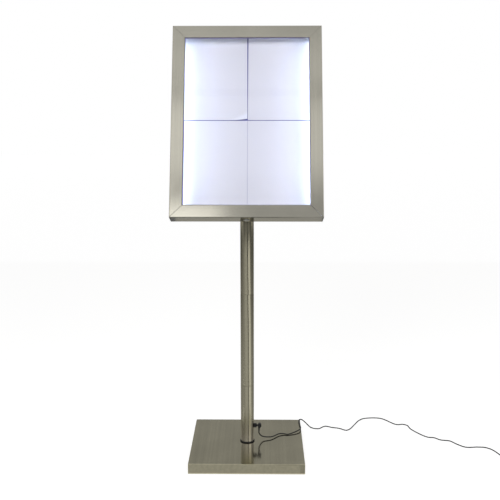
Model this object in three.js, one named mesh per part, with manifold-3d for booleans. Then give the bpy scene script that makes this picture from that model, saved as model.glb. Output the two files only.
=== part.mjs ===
// Lockable, lit display case for four A4 sheets on a pole with a weighted square foot.
// Millimetres, +Z up, front towards -Y. The origin is the middle of the foot's underside.

import * as THREE from 'three';
import { mergeVertices } from 'three/addons/utils/BufferGeometryUtils.js';
import Module from 'manifold-3d';

const wasm = await Module();
wasm.setup();

// Gap between touching pieces
const gap = 0.3;

// Foot
const footSide = 390;
const footTop = 37;
const footSheet = 2;
const skirtLift = 2;
const weightSide = 250;
const weightBoltRecess = 12;
const bottomPlateThickness = 2;
const padDiameter = 36;
const padInset = 34;

// Pole
const poleDiameter = 46;
const poleWall = 1.5;
const lowerTubeTop = 245.8;
const sectionLength = 326;
const couplerLength = 90;
const couplerWall = 2.5;
const spigotLength = 38;
const footBoltDiameter = 12;
const footRingHeight = 3;
const footRingWidth = 2;

// Feed socket and plug
const socketHeight = 94;
const socketNeckDiameter = 8;
const socketNutDiameter = 15;
const socketNutLength = 9.4;
const plugSide = 16;
const plugHeight = 15;
const plugThickness = 12;
const plugBarrelDiameter = 5.5;
const plugBarrelLength = 9;
const reliefLength = 13;
const cordDiameter = 4;
const cordLength = 1800;

// Tilt joint
const tilt = THREE.MathUtils.degToRad(20.5);
const plugDepth = 45;
const poleCapThickness = 4;
const tongueThickness = 20;
const tongueRadius = 14;
const pivotRise = 22;
const pivotBoltDiameter = 8;
const bracketWidth = 90;
const bracketHeight = 100;
const bracketSheet = 3;
const cheekRise = 42;
const cheekDrop = 20;
const pivotBehindCase = 38;
const pivotAboveCaseFoot = 113;

// Case
const sheetWidth = 210;
const sheetHeight = 297;
const sheetThickness = 0.4;
const sheetSeam = 1.5;
const sheetSideCover = 3;
const sheetEndCover = 11;
const frameFace = 42;
const frameBend = 2.5;
const frameLip = 6;
const doorDepth = 16;
const caseDepth = 64;
const caseSheet = 1.5;
const paneThickness = 3;
const paneLap = 10;
const innerFrameSheet = 2;
const retainerSheet = 1.2;
const retainerLap = 7;
const wiringSpace = 15.5;
const boardSheet = 1.5;
const boardFoot = 30;
const ledgeHeight = 42;
const ledgeDepth = 2.5;

// LED bars
const barWidth = 12;
const barDepth = 8;
const barWall = 1;
const barFoot = 52;
const ledPitch = 33;

// Hinge
const hingeKnuckleDiameter = 5;
const hingePinDiameter = 2;
const hingeBoreDiameter = 2.6;
const hingeRelief = 3.5;
const hingeLeafThickness = 1.2;
const doorLeafWidth = 10;
const hingeEndInset = 28;
const hingeKnuckles = 9;

// Lock
const lockFromBack = 22;
const lockBarrelDiameter = 16;
const lockBarrelLength = 18;
const lockFlangeDiameter = 20;
const lockCoreDiameter = 11;
const lockNutWidth = 20;
const camLength = 18;
const camWidth = 8;
const camThickness = 2.5;
const strikeSheet = 2;

// Sizes that follow from those above
const openingWidth = 2 * (sheetWidth - sheetSideCover);
const openingHeight = 2 * (sheetHeight - sheetEndCover);
const caseWidth = openingWidth + 2 * frameFace;
const caseHeight = openingHeight + 2 * frameFace;
const caseMiddle = caseHeight / 2;
const boxFront = doorDepth + gap;
const backInside = caseDepth - caseSheet;
const boardFront = backInside - wiringSpace;
const lockDepth = caseDepth - lockFromBack;
const poleRadius = poleDiameter / 2;
const poleInside = poleRadius - poleWall;
const insertRadius = poleInside - gap;
const poleFoot = footTop + gap;
const middleTubeTop = lowerTubeTop + sectionLength;
const poleTop = middleTubeTop + sectionLength;
const pivotHeight = poleTop + gap + poleCapThickness + pivotRise;
const cordRadius = cordDiameter / 2;
const hingeX = -caseWidth / 2 + hingeKnuckleDiameter / 2;
const hingeY = doorDepth + gap / 2;
const hingeLength = caseHeight - 2 * hingeEndInset;

const finishes = {
  steel: new THREE.MeshStandardMaterial({ color: 0xa9a698, roughness: 0.32, metalness: 0.9 }),
  darkSteel: new THREE.MeshStandardMaterial({ color: 0x6e6a5e, roughness: 0.45, metalness: 0.9 }),
  zinc: new THREE.MeshStandardMaterial({ color: 0xb9bbbd, roughness: 0.4, metalness: 0.8 }),
  chrome: new THREE.MeshStandardMaterial({ color: 0xd9d9d9, roughness: 0.12, metalness: 1 }),
  aluminium: new THREE.MeshStandardMaterial({ color: 0xc9cacc, roughness: 0.4, metalness: 0.9 }),
  black: new THREE.MeshStandardMaterial({ color: 0x151514, roughness: 0.55, metalness: 0 }),
  rubber: new THREE.MeshStandardMaterial({ color: 0x101010, roughness: 0.8, metalness: 0 }),
  darkPaint: new THREE.MeshStandardMaterial({ color: 0x4d4858, roughness: 0.8, metalness: 0 }),
  white: new THREE.MeshStandardMaterial({ color: 0xf1f2f2, roughness: 0.6, metalness: 0 }),
  paper: new THREE.MeshStandardMaterial({ color: 0xe6e8f4, roughness: 0.9, metalness: 0 }),
  opal: new THREE.MeshStandardMaterial({ color: 0xf7fbff, roughness: 0.5, metalness: 0 }),
  clear: new THREE.MeshStandardMaterial({
    color: 0xf4fafc,
    roughness: 0.05,
    metalness: 0,
    transparent: true,
    opacity: 0.2,
  }),
};

const stand = new THREE.Group();
const tiltPivot = new THREE.Group();
tiltPivot.position.set(0, 0, pivotHeight);
tiltPivot.rotation.x = -tilt;
const caseGroup = new THREE.Group();
caseGroup.position.set(0, -(caseDepth + pivotBehindCase), -pivotAboveCaseFoot);
tiltPivot.add(caseGroup);
stand.add(tiltPivot);

function addPiece(parent, name, geometry, finish) {
  const mesh = new THREE.Mesh(geometry, finishes[finish].clone());
  mesh.name = name;
  parent.add(mesh);
  return mesh;
}

// Joins and cuts

function toSolid(geometry) {
  const bare = geometry.clone();
  bare.deleteAttribute('normal');
  bare.deleteAttribute('uv');
  const merged = mergeVertices(bare, 1e-4);
  const vertProperties = new Float32Array(merged.attributes.position.array);
  const triVerts = new Uint32Array(merged.index.array);
  return new wasm.Manifold(new wasm.Mesh({ numProp: 3, vertProperties, triVerts }));
}

function toGeometry(solid) {
  const { vertProperties, triVerts } = solid.getMesh();
  const geometry = new THREE.BufferGeometry();
  geometry.setAttribute('position', new THREE.BufferAttribute(vertProperties, 3));
  geometry.setIndex(new THREE.BufferAttribute(triVerts, 1));
  return geometry;
}

function cut(geometry, ...tools) {
  let solid = toSolid(geometry);
  for (const tool of tools) {
    solid = solid.subtract(toSolid(tool));
  }
  return toGeometry(solid);
}

function join(...geometries) {
  let solid = toSolid(geometries[0]);
  for (const geometry of geometries.slice(1)) {
    solid = solid.add(toSolid(geometry));
  }
  return toGeometry(solid);
}

// Plain shapes

function block(x0, x1, y0, y1, z0, z1) {
  const geometry = new THREE.BoxGeometry(x1 - x0, y1 - y0, z1 - z0);
  return geometry.translate((x0 + x1) / 2, (y0 + y1) / 2, (z0 + z1) / 2);
}

// A solid of revolution about Z from [radius, height] pairs that run upwards on the outside
function turned(profile, segments = 24) {
  const points = profile.map(([radius, height]) => new THREE.Vector2(radius, height));
  points.push(points[0].clone());
  return new THREE.LatheGeometry(points, segments).rotateX(Math.PI / 2);
}

function rod(radius, bottom, top, segments = 24) {
  const geometry = new THREE.CylinderGeometry(radius, radius, top - bottom, segments);
  return geometry.rotateX(Math.PI / 2).translate(0, 0, (bottom + top) / 2);
}

function sleeve(outer, inner, bottom, top, segments = 24) {
  return turned([[inner, bottom], [outer, bottom], [outer, top], [inner, top]], segments);
}

function hexagon(width, bottom, top) {
  return rod(width / Math.sqrt(3), bottom, top, 6);
}

// A flat outline pushed along Z
function plate(outline, thickness, holes = []) {
  const shape = new THREE.Shape(outline.map(([x, y]) => new THREE.Vector2(x, y)));
  for (const hole of holes) {
    shape.holes.push(new THREE.Path(hole.map(([x, y]) => new THREE.Vector2(x, y))));
  }
  return new THREE.ExtrudeGeometry(shape, { depth: thickness, bevelEnabled: false });
}

// An outline in depth (Y) and height (Z), pushed along X from x0 to x1
function sidePlate(outline, x0, x1) {
  return plate(outline, x1 - x0).applyMatrix4(
    new THREE.Matrix4().makeBasis(
      new THREE.Vector3(0, 1, 0),
      new THREE.Vector3(0, 0, 1),
      new THREE.Vector3(1, 0, 0),
    ),
  ).translate(x0, 0, 0);
}

function circleOutline(radius, sides) {
  const outline = new THREE.Shape();
  outline.absarc(0, 0, radius, 0, 2 * Math.PI, false);
  return new THREE.Shape(outline.getSpacedPoints(sides).slice(0, sides));
}

function tubeAlong(curve, radius, steps, sides = 8) {
  return new THREE.ExtrudeGeometry(circleOutline(radius, sides), {
    steps,
    extrudePath: curve,
    bevelEnabled: false,
  });
}

function smoothLine(points) {
  return new THREE.CatmullRomCurve3(points.map((point) => new THREE.Vector3(...point)));
}

// Foot: folded cover, weight, bottom plate, pads and screws

const coverInside = footSide / 2 - footSheet;
const coverUnderside = footTop - footSheet;
const bottomPlateFoot = skirtLift + gap;
const bottomPlateTop = bottomPlateFoot + bottomPlateThickness;
const weightFoot = bottomPlateTop + gap;
const weightTop = coverUnderside - gap;
const footBoltClear = footBoltDiameter / 2 + gap;

function footCover() {
  const outer = block(-footSide / 2, footSide / 2, -footSide / 2, footSide / 2, skirtLift, footTop);
  const inner = block(-coverInside, coverInside, -coverInside, coverInside, -1, coverUnderside);
  return cut(outer, inner, rod(footBoltClear, 0, footTop + 1));
}

function footWeight() {
  const half = weightSide / 2;
  return cut(
    block(-half, half, -half, half, weightFoot, weightTop),
    rod(footBoltClear, 0, footTop),
    rod(footBoltDiameter, 0, weightFoot + weightBoltRecess),
  );
}

function footPlate() {
  const half = coverInside - gap;
  const plateBody = block(-half, half, -half, half, bottomPlateFoot, bottomPlateTop);
  return cut(plateBody, rod(footBoltDiameter, 0, weightFoot));
}

const spigotTop = poleFoot + spigotLength;

function footSpigot() {
  return turned([
    [footBoltClear, poleFoot],
    [insertRadius, poleFoot],
    [insertRadius, spigotTop],
    [footBoltClear, spigotTop],
  ], 32);
}

function footBolt() {
  const headHeight = footBoltDiameter * 0.6;
  const headFoot = weightFoot + weightBoltRecess - gap - headHeight;
  const head = hexagon(footBoltDiameter * 1.5, headFoot, headFoot + headHeight);
  const tipBelowSpigot = 4;
  return join(head, rod(footBoltDiameter / 2, headFoot + 1, spigotTop - tipBelowSpigot, 16));
}

addPiece(stand, 'base_cover', footCover(), 'steel');
addPiece(stand, 'base_weight', footWeight(), 'darkSteel');
addPiece(stand, 'base_bottom_plate', footPlate(), 'darkSteel');
addPiece(stand, 'foot_spigot', footSpigot(), 'darkSteel');
addPiece(stand, 'foot_bolt', footBolt(), 'zinc');

const padReach = footSide / 2 - padInset;
for (const [row, y] of [['front', -padReach], ['rear', padReach]]) {
  for (const [column, x] of [['left', -padReach], ['right', padReach]]) {
    const pad = rod(padDiameter / 2, 0, bottomPlateFoot - gap, 24).translate(x, y, 0);
    addPiece(stand, `base_pad_${row}_${column}`, pad, 'rubber');
  }
}

// Pole: three tubes, two inner couplers and the ring at its foot

const ringInside = poleRadius + gap;
addPiece(
  stand,
  'foot_ring',
  sleeve(ringInside + footRingWidth, ringInside, footTop + gap, footTop + gap + footRingHeight, 40),
  'rubber',
);

function lowerTube() {
  const tube = sleeve(poleRadius, poleInside, poleFoot, lowerTubeTop, 40);
  const hole = rod(socketNeckDiameter / 2 + gap, 0, poleDiameter, 16);
  return cut(tube, hole.rotateY(Math.PI / 2).translate(0, 0, socketHeight));
}

addPiece(stand, 'pole_lower_tube', lowerTube(), 'steel');
const tubeStack = [
  ['pole_middle_tube', lowerTubeTop + gap, middleTubeTop],
  ['pole_upper_tube', middleTubeTop + gap, poleTop],
];
for (const [name, bottom, top] of tubeStack) {
  addPiece(stand, name, sleeve(poleRadius, poleInside, bottom, top, 40), 'steel');
}
for (const [name, middle] of [['pole_lower_coupler', lowerTubeTop], ['pole_upper_coupler', middleTubeTop]]) {
  const bottom = middle - couplerLength / 2;
  const inside = insertRadius - couplerWall;
  addPiece(stand, name, sleeve(insertRadius, inside, bottom, bottom + couplerLength, 32), 'darkSteel');
}

// Tilt joint: tongue in the pole, forked bracket on the case, bolt and nut

const leadHoleRadius = cordRadius + 1;
const leadHoleY = tongueRadius + leadHoleRadius + 0.5;
const pivotHoleRadius = pivotBoltDiameter / 2 + gap;

// A strap with a round end: from a straight foot line up to an arc about the pivot
function roundEnded(halfFoot, footHeight, radius, pivotY, pivotZ) {
  const outline = [[pivotY - halfFoot, footHeight], [pivotY + halfFoot, footHeight]];
  const arcSteps = 10;
  for (let step = 0; step <= arcSteps; step += 1) {
    const angle = Math.PI * step / arcSteps;
    outline.push([pivotY + radius * Math.cos(angle), pivotZ + radius * Math.sin(angle)]);
  }
  return outline;
}

function poleTongue() {
  const capFoot = poleTop + gap;
  const body = turned([
    [0, poleTop - plugDepth],
    [insertRadius, poleTop - plugDepth],
    [insertRadius, capFoot],
    [poleRadius, capFoot],
    [poleRadius, capFoot + poleCapThickness],
    [0, capFoot + poleCapThickness],
  ], 40);
  const half = tongueThickness / 2;
  const outline = roundEnded(tongueRadius, capFoot + 1, tongueRadius, 0, pivotHeight);
  const tongue = sidePlate(outline, -half, half);
  const pivotHole = rod(pivotHoleRadius, -tongueThickness, tongueThickness, 20);
  const leadHole = rod(leadHoleRadius, poleTop - plugDepth - 1, capFoot + poleCapThickness + 1, 16);
  return cut(
    join(body, tongue),
    pivotHole.rotateY(Math.PI / 2).translate(0, 0, pivotHeight),
    leadHole.translate(0, leadHoleY, 0),
  );
}

addPiece(stand, 'pole_tongue', poleTongue(), 'darkSteel');

const bracketFront = caseDepth + gap;
const bracketBack = bracketFront + bracketSheet;
const pivotDepth = caseDepth + pivotBehindCase;
const cheekInside = tongueThickness / 2 + gap;
const cheekOutside = cheekInside + bracketSheet;

// A rod along the case's depth
function depthRod(radius, front, back, x, z, sides = 12) {
  return rod(radius, front, back, sides).rotateX(-Math.PI / 2).translate(x, 0, z);
}

function tiltBracket() {
  const half = bracketHeight / 2;
  const base = block(
    -bracketWidth / 2,
    bracketWidth / 2,
    bracketFront,
    bracketBack,
    pivotAboveCaseFoot - half,
    pivotAboveCaseFoot + half,
  );
  const outline = [
    [bracketBack - 1, pivotAboveCaseFoot + cheekRise],
    [bracketBack - 1, pivotAboveCaseFoot - cheekDrop],
  ];
  const arcSteps = 10;
  for (let step = 0; step <= arcSteps; step += 1) {
    const angle = -Math.PI / 2 + Math.PI * step / arcSteps;
    outline.push([
      pivotDepth + tongueRadius * Math.cos(angle),
      pivotAboveCaseFoot + tongueRadius * Math.sin(angle),
    ]);
  }
  const left = sidePlate(outline, -cheekOutside, -cheekInside);
  const right = sidePlate(outline, cheekInside, cheekOutside);
  const pivotHole = rod(pivotHoleRadius, -bracketWidth, bracketWidth, 20).rotateY(Math.PI / 2);
  return cut(join(base, left, right), pivotHole.translate(0, pivotDepth, pivotAboveCaseFoot));
}

const pivotNutLength = 6;
const pivotHeadLength = 5;
const pivotBoltTip = cheekOutside + gap + pivotNutLength + 1.5;

function pivotBolt() {
  const headFoot = -(cheekOutside + gap + pivotHeadLength);
  const bolt = join(
    rod(pivotBoltDiameter * 0.8, headFoot, headFoot + pivotHeadLength, 24),
    rod(pivotBoltDiameter / 2, headFoot + 1, pivotBoltTip, 20),
  );
  const socket = hexagon(pivotBoltDiameter * 0.6, headFoot - 1, headFoot + 3);
  return cut(bolt, socket).rotateY(Math.PI / 2).translate(0, pivotDepth, pivotAboveCaseFoot);
}

function pivotNut() {
  const foot = cheekOutside + gap;
  const nut = cut(
    hexagon(pivotBoltDiameter * 1.6, foot, foot + pivotNutLength),
    rod(pivotHoleRadius, 0, pivotBoltTip + 1, 20),
  );
  return nut.rotateY(Math.PI / 2).translate(0, pivotDepth, pivotAboveCaseFoot);
}

addPiece(caseGroup, 'tilt_bracket', tiltBracket(), 'darkSteel');
addPiece(caseGroup, 'pivot_bolt', pivotBolt(), 'zinc');
addPiece(caseGroup, 'pivot_nut', pivotNut(), 'zinc');

// Back box of the case

const glandX = -(bracketWidth / 2 + 25);
const glandZ = pivotAboveCaseFoot + 20;
const glandThreadRadius = 6;
const glandThreadInside = 3;
const glandLength = 16;

function hingeReliefSpace() {
  return block(
    -caseWidth / 2 - 1,
    hingeX + hingeRelief,
    hingeY - hingeRelief,
    hingeY + hingeRelief,
    -1,
    caseHeight + 1,
  );
}

function backBox() {
  const half = caseWidth / 2;
  const outer = block(-half, half, boxFront, caseDepth, 0, caseHeight);
  const inner = block(
    -half + caseSheet,
    half - caseSheet,
    boxFront - 1,
    backInside,
    caseSheet,
    caseHeight - caseSheet,
  );
  const lockHole = rod(lockBarrelDiameter / 2 + gap, -1, caseSheet + 1).translate(0, lockDepth, 0);
  const glandHole = depthRod(glandThreadRadius + gap, backInside - 1, caseDepth + 1, glandX, glandZ, 20);
  return cut(outer, inner, lockHole, glandHole, hingeReliefSpace());
}

addPiece(caseGroup, 'back_box', backBox(), 'steel');

// Board with folded sides that stand on the box's back, and a ledge for the sheets

const barInside = caseWidth / 2 - caseSheet - gap - barDepth;
const boardSideClear = 2;
const boardTopClear = 4;
const boardHalf = caseWidth / 2 - caseSheet - boardSideClear;

function backBoard() {
  const back = backInside - gap;
  const foldInside = boardHalf - boardSheet;
  const fold = [
    [-boardHalf, back],
    [-boardHalf, boardFront],
    [boardHalf, boardFront],
    [boardHalf, back],
    [foldInside, back],
    [foldInside, boardFront + boardSheet],
    [-foldInside, boardFront + boardSheet],
    [-foldInside, back],
  ];
  const board = plate(fold, caseHeight - caseSheet - boardTopClear - boardFoot).translate(0, 0, boardFoot);
  const ledge = block(
    -boardHalf,
    boardHalf,
    boardFront - ledgeDepth,
    boardFront + 1,
    ledgeHeight - boardSheet,
    ledgeHeight,
  );
  return join(board, ledge);
}

addPiece(caseGroup, 'back_board', backBoard(), 'darkPaint');

// Four sheets, two beside two, standing on the ledge

const sheetColumnMiddle = 2;
const sheetBack = boardFront - gap;
const sheetRows = [
  ['bottom', ledgeHeight + gap],
  ['top', ledgeHeight + gap + sheetHeight + sheetSeam],
];
for (const [row, foot] of sheetRows) {
  for (const [column, side] of [['left', -1], ['right', 1]]) {
    const middle = sheetColumnMiddle + side * (sheetWidth + sheetSeam) / 2;
    const sheet = block(
      middle - sheetWidth / 2,
      middle + sheetWidth / 2,
      sheetBack - sheetThickness,
      sheetBack,
      foot,
      foot + sheetHeight,
    );
    addPiece(caseGroup, `sheet_${row}_${column}`, sheet, 'paper');
  }
}

// LED bars on the side walls, just in front of the board

const barBack = boardFront - gap - sheetThickness - gap - 1;
const barFront = barBack - barWidth;
const barTop = caseHeight - barFoot;
const stripThickness = 1;
const chipHeight = 0.8;
const chipSide = 3;

// Shapes are drawn for the right wall and mirrored to the left one
function onSide(side, geometry) {
  if (side > 0) {
    return geometry;
  }
  return geometry.rotateZ(Math.PI).translate(0, barFront + barBack, 0);
}

function barChannel(side) {
  const wallFace = caseWidth / 2 - caseSheet - gap;
  const outline = [
    [barInside, barFront],
    [wallFace, barFront],
    [wallFace, barBack],
    [barInside, barBack],
    [barInside, barBack - barWall],
    [wallFace - barWall, barBack - barWall],
    [wallFace - barWall, barFront + barWall],
    [barInside, barFront + barWall],
  ];
  return onSide(side, plate(outline, barTop - barFoot).translate(0, 0, barFoot));
}

function barStrip(side) {
  const outerFace = caseWidth / 2 - caseSheet - gap - barWall - gap;
  const innerFace = outerFace - stripThickness;
  const middle = (barFront + barBack) / 2;
  const half = barWidth / 2 - barWall - gap;
  let strip = toSolid(block(innerFace, outerFace, middle - half, middle + half, barFoot + 2, barTop - 2));
  for (let height = barFoot + ledPitch / 2; height < barTop - chipSide; height += ledPitch) {
    strip = strip.add(toSolid(block(
      innerFace - chipHeight,
      innerFace + 0.2,
      middle - chipSide / 2,
      middle + chipSide / 2,
      height - chipSide / 2,
      height + chipSide / 2,
    )));
  }
  return onSide(side, toGeometry(strip));
}

function barCover(side) {
  const thickness = 1.5;
  const cover = block(
    barInside - gap - thickness,
    barInside - gap,
    barFront,
    barBack,
    barFoot,
    barTop,
  );
  return onSide(side, cover);
}

for (const [name, side] of [['left', -1], ['right', 1]]) {
  addPiece(caseGroup, `led_channel_${name}`, barChannel(side), 'aluminium');
  addPiece(caseGroup, `led_strip_${name}`, barStrip(side), 'white');
  addPiece(caseGroup, `led_cover_${name}`, barCover(side), 'opal');
}

// Terminal block, gland and the leads inside the case

const terminalHalf = 20;
const terminalFoot = 100;
const terminalHeight = 18;
const terminalBack = backInside - gap;
const terminalFront = boardFront + boardSheet + 2;
const leadRadius = 1.5;
const leadDepth = (terminalBack + terminalFront) / 2;

addPiece(
  caseGroup,
  'terminal_block',
  block(
    -terminalHalf,
    terminalHalf,
    terminalFront,
    terminalBack,
    terminalFoot,
    terminalFoot + terminalHeight,
  ),
  'white',
);

function cableGland() {
  const bore = cordRadius + gap;
  const flangeFoot = gap;
  const profile = [
    [bore, -caseSheet - glandThreadInside],
    [glandThreadRadius, -caseSheet - glandThreadInside],
    [glandThreadRadius, flangeFoot],
    [glandThreadRadius + 3, flangeFoot],
    [glandThreadRadius + 3, flangeFoot + 6],
    [glandThreadRadius + 2, glandLength - 5],
    [cordRadius + 1.5, glandLength],
    [bore, glandLength],
  ];
  return turned(profile, 20).rotateX(-Math.PI / 2).translate(glandX, caseDepth, glandZ);
}

addPiece(caseGroup, 'cable_gland', cableGland(), 'black');

const caseLeadLine = smoothLine([
  [glandX, backInside - glandThreadInside - gap, glandZ],
  [glandX + 1, backInside - glandThreadInside - 3, glandZ - 0.5],
  [glandX + 6, leadDepth - 2.5, glandZ - 4],
  [glandX + 18, leadDepth - 1, glandZ - 12],
  [-terminalHalf - 20, leadDepth, terminalFoot + terminalHeight / 2 + 3],
  [-terminalHalf - 8, leadDepth, terminalFoot + terminalHeight / 2],
  [-terminalHalf - gap, leadDepth, terminalFoot + terminalHeight / 2],
]);
function stripLead(side) {
  const stripMiddle = (barFront + barBack) / 2;
  const stripX = caseWidth / 2 - caseSheet - gap - barWall - gap - stripThickness / 2;
  const line = smoothLine([
    [side * (terminalHalf - 8), leadDepth, terminalFoot - gap],
    [side * (terminalHalf - 8), leadDepth, terminalFoot - 12],
    [side * (terminalHalf + 30), leadDepth, 40],
    [side * (terminalHalf + 90), leadDepth, 19],
    [side * (stripX - 60), leadDepth, 15],
    [side * (stripX - 24), leadDepth - 3, 14],
    [side * (stripX - 6), leadDepth - 11, 17],
    [side * (stripX - 1.5), stripMiddle + 3, 26],
    [side * (stripX - 1), stripMiddle, 38],
    [side * (stripX - 1), stripMiddle, barFoot - 1],
  ]);
  return tubeAlong(line, leadRadius * 0.8, 32, 6);
}

addPiece(caseGroup, 'case_lead', tubeAlong(caseLeadLine, leadRadius, 18), 'black');
addPiece(caseGroup, 'strip_lead_left', stripLead(-1), 'black');
addPiece(caseGroup, 'strip_lead_right', stripLead(1), 'black');

// Door: four mitred folded profiles

const mitreGap = gap / 2 * Math.SQRT2;

// The folded section: inset from the outer edge (X) and depth behind the face (Y)
function frameSection() {
  const inside = frameBend - caseSheet;
  const shape = new THREE.Shape();
  shape.moveTo(0, doorDepth);
  shape.lineTo(0, frameBend);
  shape.absarc(frameBend, frameBend, frameBend, Math.PI, 1.5 * Math.PI, false);
  shape.lineTo(frameFace - frameBend, 0);
  shape.absarc(frameFace - frameBend, frameBend, frameBend, 1.5 * Math.PI, 2 * Math.PI, false);
  shape.lineTo(frameFace, frameLip);
  shape.lineTo(frameFace - caseSheet, frameLip);
  shape.lineTo(frameFace - caseSheet, frameBend);
  shape.absarc(frameFace - frameBend, frameBend, inside, 2 * Math.PI, 1.5 * Math.PI, true);
  shape.lineTo(frameBend, caseSheet);
  shape.absarc(frameBend, frameBend, inside, 1.5 * Math.PI, Math.PI, true);
  shape.lineTo(caseSheet, doorDepth);
  shape.closePath();
  return shape;
}

// side: bottom, top, left or right. Each end is cut at 45 degrees.
function frameBar(side) {
  const options = { depth: 1, steps: 1, curveSegments: 4, bevelEnabled: false };
  const geometry = new THREE.ExtrudeGeometry(frameSection(), options);
  const level = side === 'bottom' || side === 'top';
  const halfLength = (level ? caseWidth : caseHeight) / 2;
  const places = geometry.attributes.position;
  for (let index = 0; index < places.count; index += 1) {
    const inset = places.getX(index);
    const depth = places.getY(index);
    const end = places.getZ(index) < 0.5 ? -1 : 1;
    const along = end * (halfLength - inset - mitreGap);
    if (side === 'bottom') {
      places.setXYZ(index, -along, depth, inset);
    } else if (side === 'top') {
      places.setXYZ(index, along, depth, caseHeight - inset);
    } else if (side === 'left') {
      places.setXYZ(index, -caseWidth / 2 + inset, depth, caseMiddle + along);
    } else {
      places.setXYZ(index, caseWidth / 2 - inset, depth, caseMiddle - along);
    }
  }
  geometry.deleteAttribute('normal');
  geometry.deleteAttribute('uv');
  return side === 'right' ? geometry : cut(geometry, hingeReliefSpace());
}

const doorGroup = new THREE.Group();
caseGroup.add(doorGroup);
for (const side of ['top', 'bottom', 'left', 'right']) {
  addPiece(doorGroup, `door_frame_${side}`, frameBar(side), 'steel');
}

// Pane behind the frame's lip, inner frame that joins the four profiles, and the pane's retainer

const paneFront = frameLip + gap;
const paneBack = paneFront + paneThickness;
const paneInset = frameFace - paneLap;
const innerFrameFront = caseSheet + gap;
const innerFrameBack = innerFrameFront + innerFrameSheet;
const camFoot = lockBarrelLength + gap + 1;
const camTop = camFoot + camThickness;
const rivetHead = 1.2;
const strikeArmFoot = camTop + gap + rivetHead + gap;
const strikeArmTop = strikeArmFoot + strikeSheet;
const retainerInset = strikeArmTop + gap;

addPiece(
  doorGroup,
  'window_pane',
  block(
    -caseWidth / 2 + paneInset,
    caseWidth / 2 - paneInset,
    paneFront,
    paneBack,
    paneInset,
    caseHeight - paneInset,
  ),
  'clear',
);

// A flat ring parallel to the face, between two insets from the case's outer edge
function ringPlate(outerInset, innerInset, front, back) {
  const rectangle = (inset) => [
    [-caseWidth / 2 + inset, inset],
    [caseWidth / 2 - inset, inset],
    [caseWidth / 2 - inset, caseHeight - inset],
    [-caseWidth / 2 + inset, caseHeight - inset],
  ];
  const ring = plate(rectangle(outerInset), back - front, [rectangle(innerInset)]);
  return ring.rotateX(Math.PI / 2).translate(0, back, 0);
}

function paneRetainer() {
  const flangeFront = paneBack + gap;
  const flangeBack = flangeFront + retainerSheet;
  const wall = ringPlate(retainerInset, retainerInset + retainerSheet, innerFrameFront, flangeBack);
  const flange = ringPlate(retainerInset, paneInset + retainerLap, flangeFront, flangeBack);
  return join(wall, flange);
}

addPiece(
  doorGroup,
  'door_inner_frame',
  ringPlate(frameBend + 2, retainerInset - gap, innerFrameFront, innerFrameBack),
  'zinc',
);
addPiece(doorGroup, 'pane_retainer', paneRetainer(), 'zinc');

// Hinge flush in the left edge: one leaf in the case, one in the door, and a pin

const knuckleLength = hingeLength / hingeKnuckles;

function hingeLeaf(firstKnuckle, towardsBack) {
  const leafX0 = -caseWidth / 2 + caseSheet + gap;
  const leafX1 = leafX0 + hingeLeafThickness;
  const sign = towardsBack ? 1 : -1;
  const leafNear = hingeY + sign * (hingeKnuckleDiameter / 2 + 2 * gap);
  const leafFar = towardsBack ? barFront - gap : leafNear - doorLeafWidth;
  const [y0, y1] = [leafNear, leafFar].sort((a, b) => a - b);
  let leaf = toSolid(block(leafX0, leafX1, y0, y1, hingeEndInset, hingeEndInset + hingeLength));
  for (let knuckle = firstKnuckle; knuckle < hingeKnuckles; knuckle += 2) {
    const bottom = hingeEndInset + knuckle * knuckleLength + gap / 2;
    const top = bottom + knuckleLength - gap;
    const tabNear = hingeY + sign * (hingeBoreDiameter / 2 + 0.4);
    const [t0, t1] = [tabNear, leafNear + sign].sort((a, b) => a - b);
    const ring = sleeve(hingeKnuckleDiameter / 2, hingeBoreDiameter / 2, bottom, top, 16);
    leaf = leaf.add(toSolid(block(leafX0, leafX1, t0, t1, bottom, top)));
    leaf = leaf.add(toSolid(ring.translate(hingeX, hingeY, 0)));
  }
  return toGeometry(leaf);
}

addPiece(caseGroup, 'hinge_leaf_case', hingeLeaf(0, true), 'zinc');
addPiece(doorGroup, 'hinge_leaf_door', hingeLeaf(1, false), 'zinc');
addPiece(
  caseGroup,
  'hinge_pin',
  rod(hingePinDiameter / 2, hingeEndInset - 1, hingeEndInset + hingeLength + 1, 12).translate(hingeX, hingeY, 0),
  'zinc',
);

// Lock: body and nut in the case's bottom wall, turning core with its cam, strike on the door

const lockBore = lockCoreDiameter / 2 + gap;
const flangeThickness = 2.2;
const corePostRadius = 2.7;

function lockBody() {
  return turned([
    [lockBore, -gap - flangeThickness],
    [lockFlangeDiameter / 2 - 0.6, -gap - flangeThickness],
    [lockFlangeDiameter / 2, -gap - flangeThickness + 0.8],
    [lockFlangeDiameter / 2, -gap],
    [lockBarrelDiameter / 2, -gap],
    [lockBarrelDiameter / 2, lockBarrelLength],
    [lockBore, lockBarrelLength],
  ], 32).translate(0, lockDepth, 0);
}

function lockNut() {
  const foot = caseSheet + gap;
  return cut(
    hexagon(lockNutWidth, foot, foot + 3.2),
    rod(lockBarrelDiameter / 2 + gap, 0, lockBarrelLength, 32),
  ).translate(0, lockDepth, 0);
}

function lockCore() {
  const core = turned([
    [0, -flangeThickness],
    [lockCoreDiameter / 2, -flangeThickness],
    [lockCoreDiameter / 2, camFoot - gap],
    [corePostRadius, camFoot - gap],
    [corePostRadius, camTop + gap],
    [camWidth / 2, camTop + gap],
    [camWidth / 2 - 0.5, camTop + gap + rivetHead],
    [0, camTop + gap + rivetHead],
  ], 24);
  const keySlot = block(-0.8, 0.8, -3.2, 3.2, -10, 6);
  return cut(core, keySlot).translate(0, lockDepth, 0);
}

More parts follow.
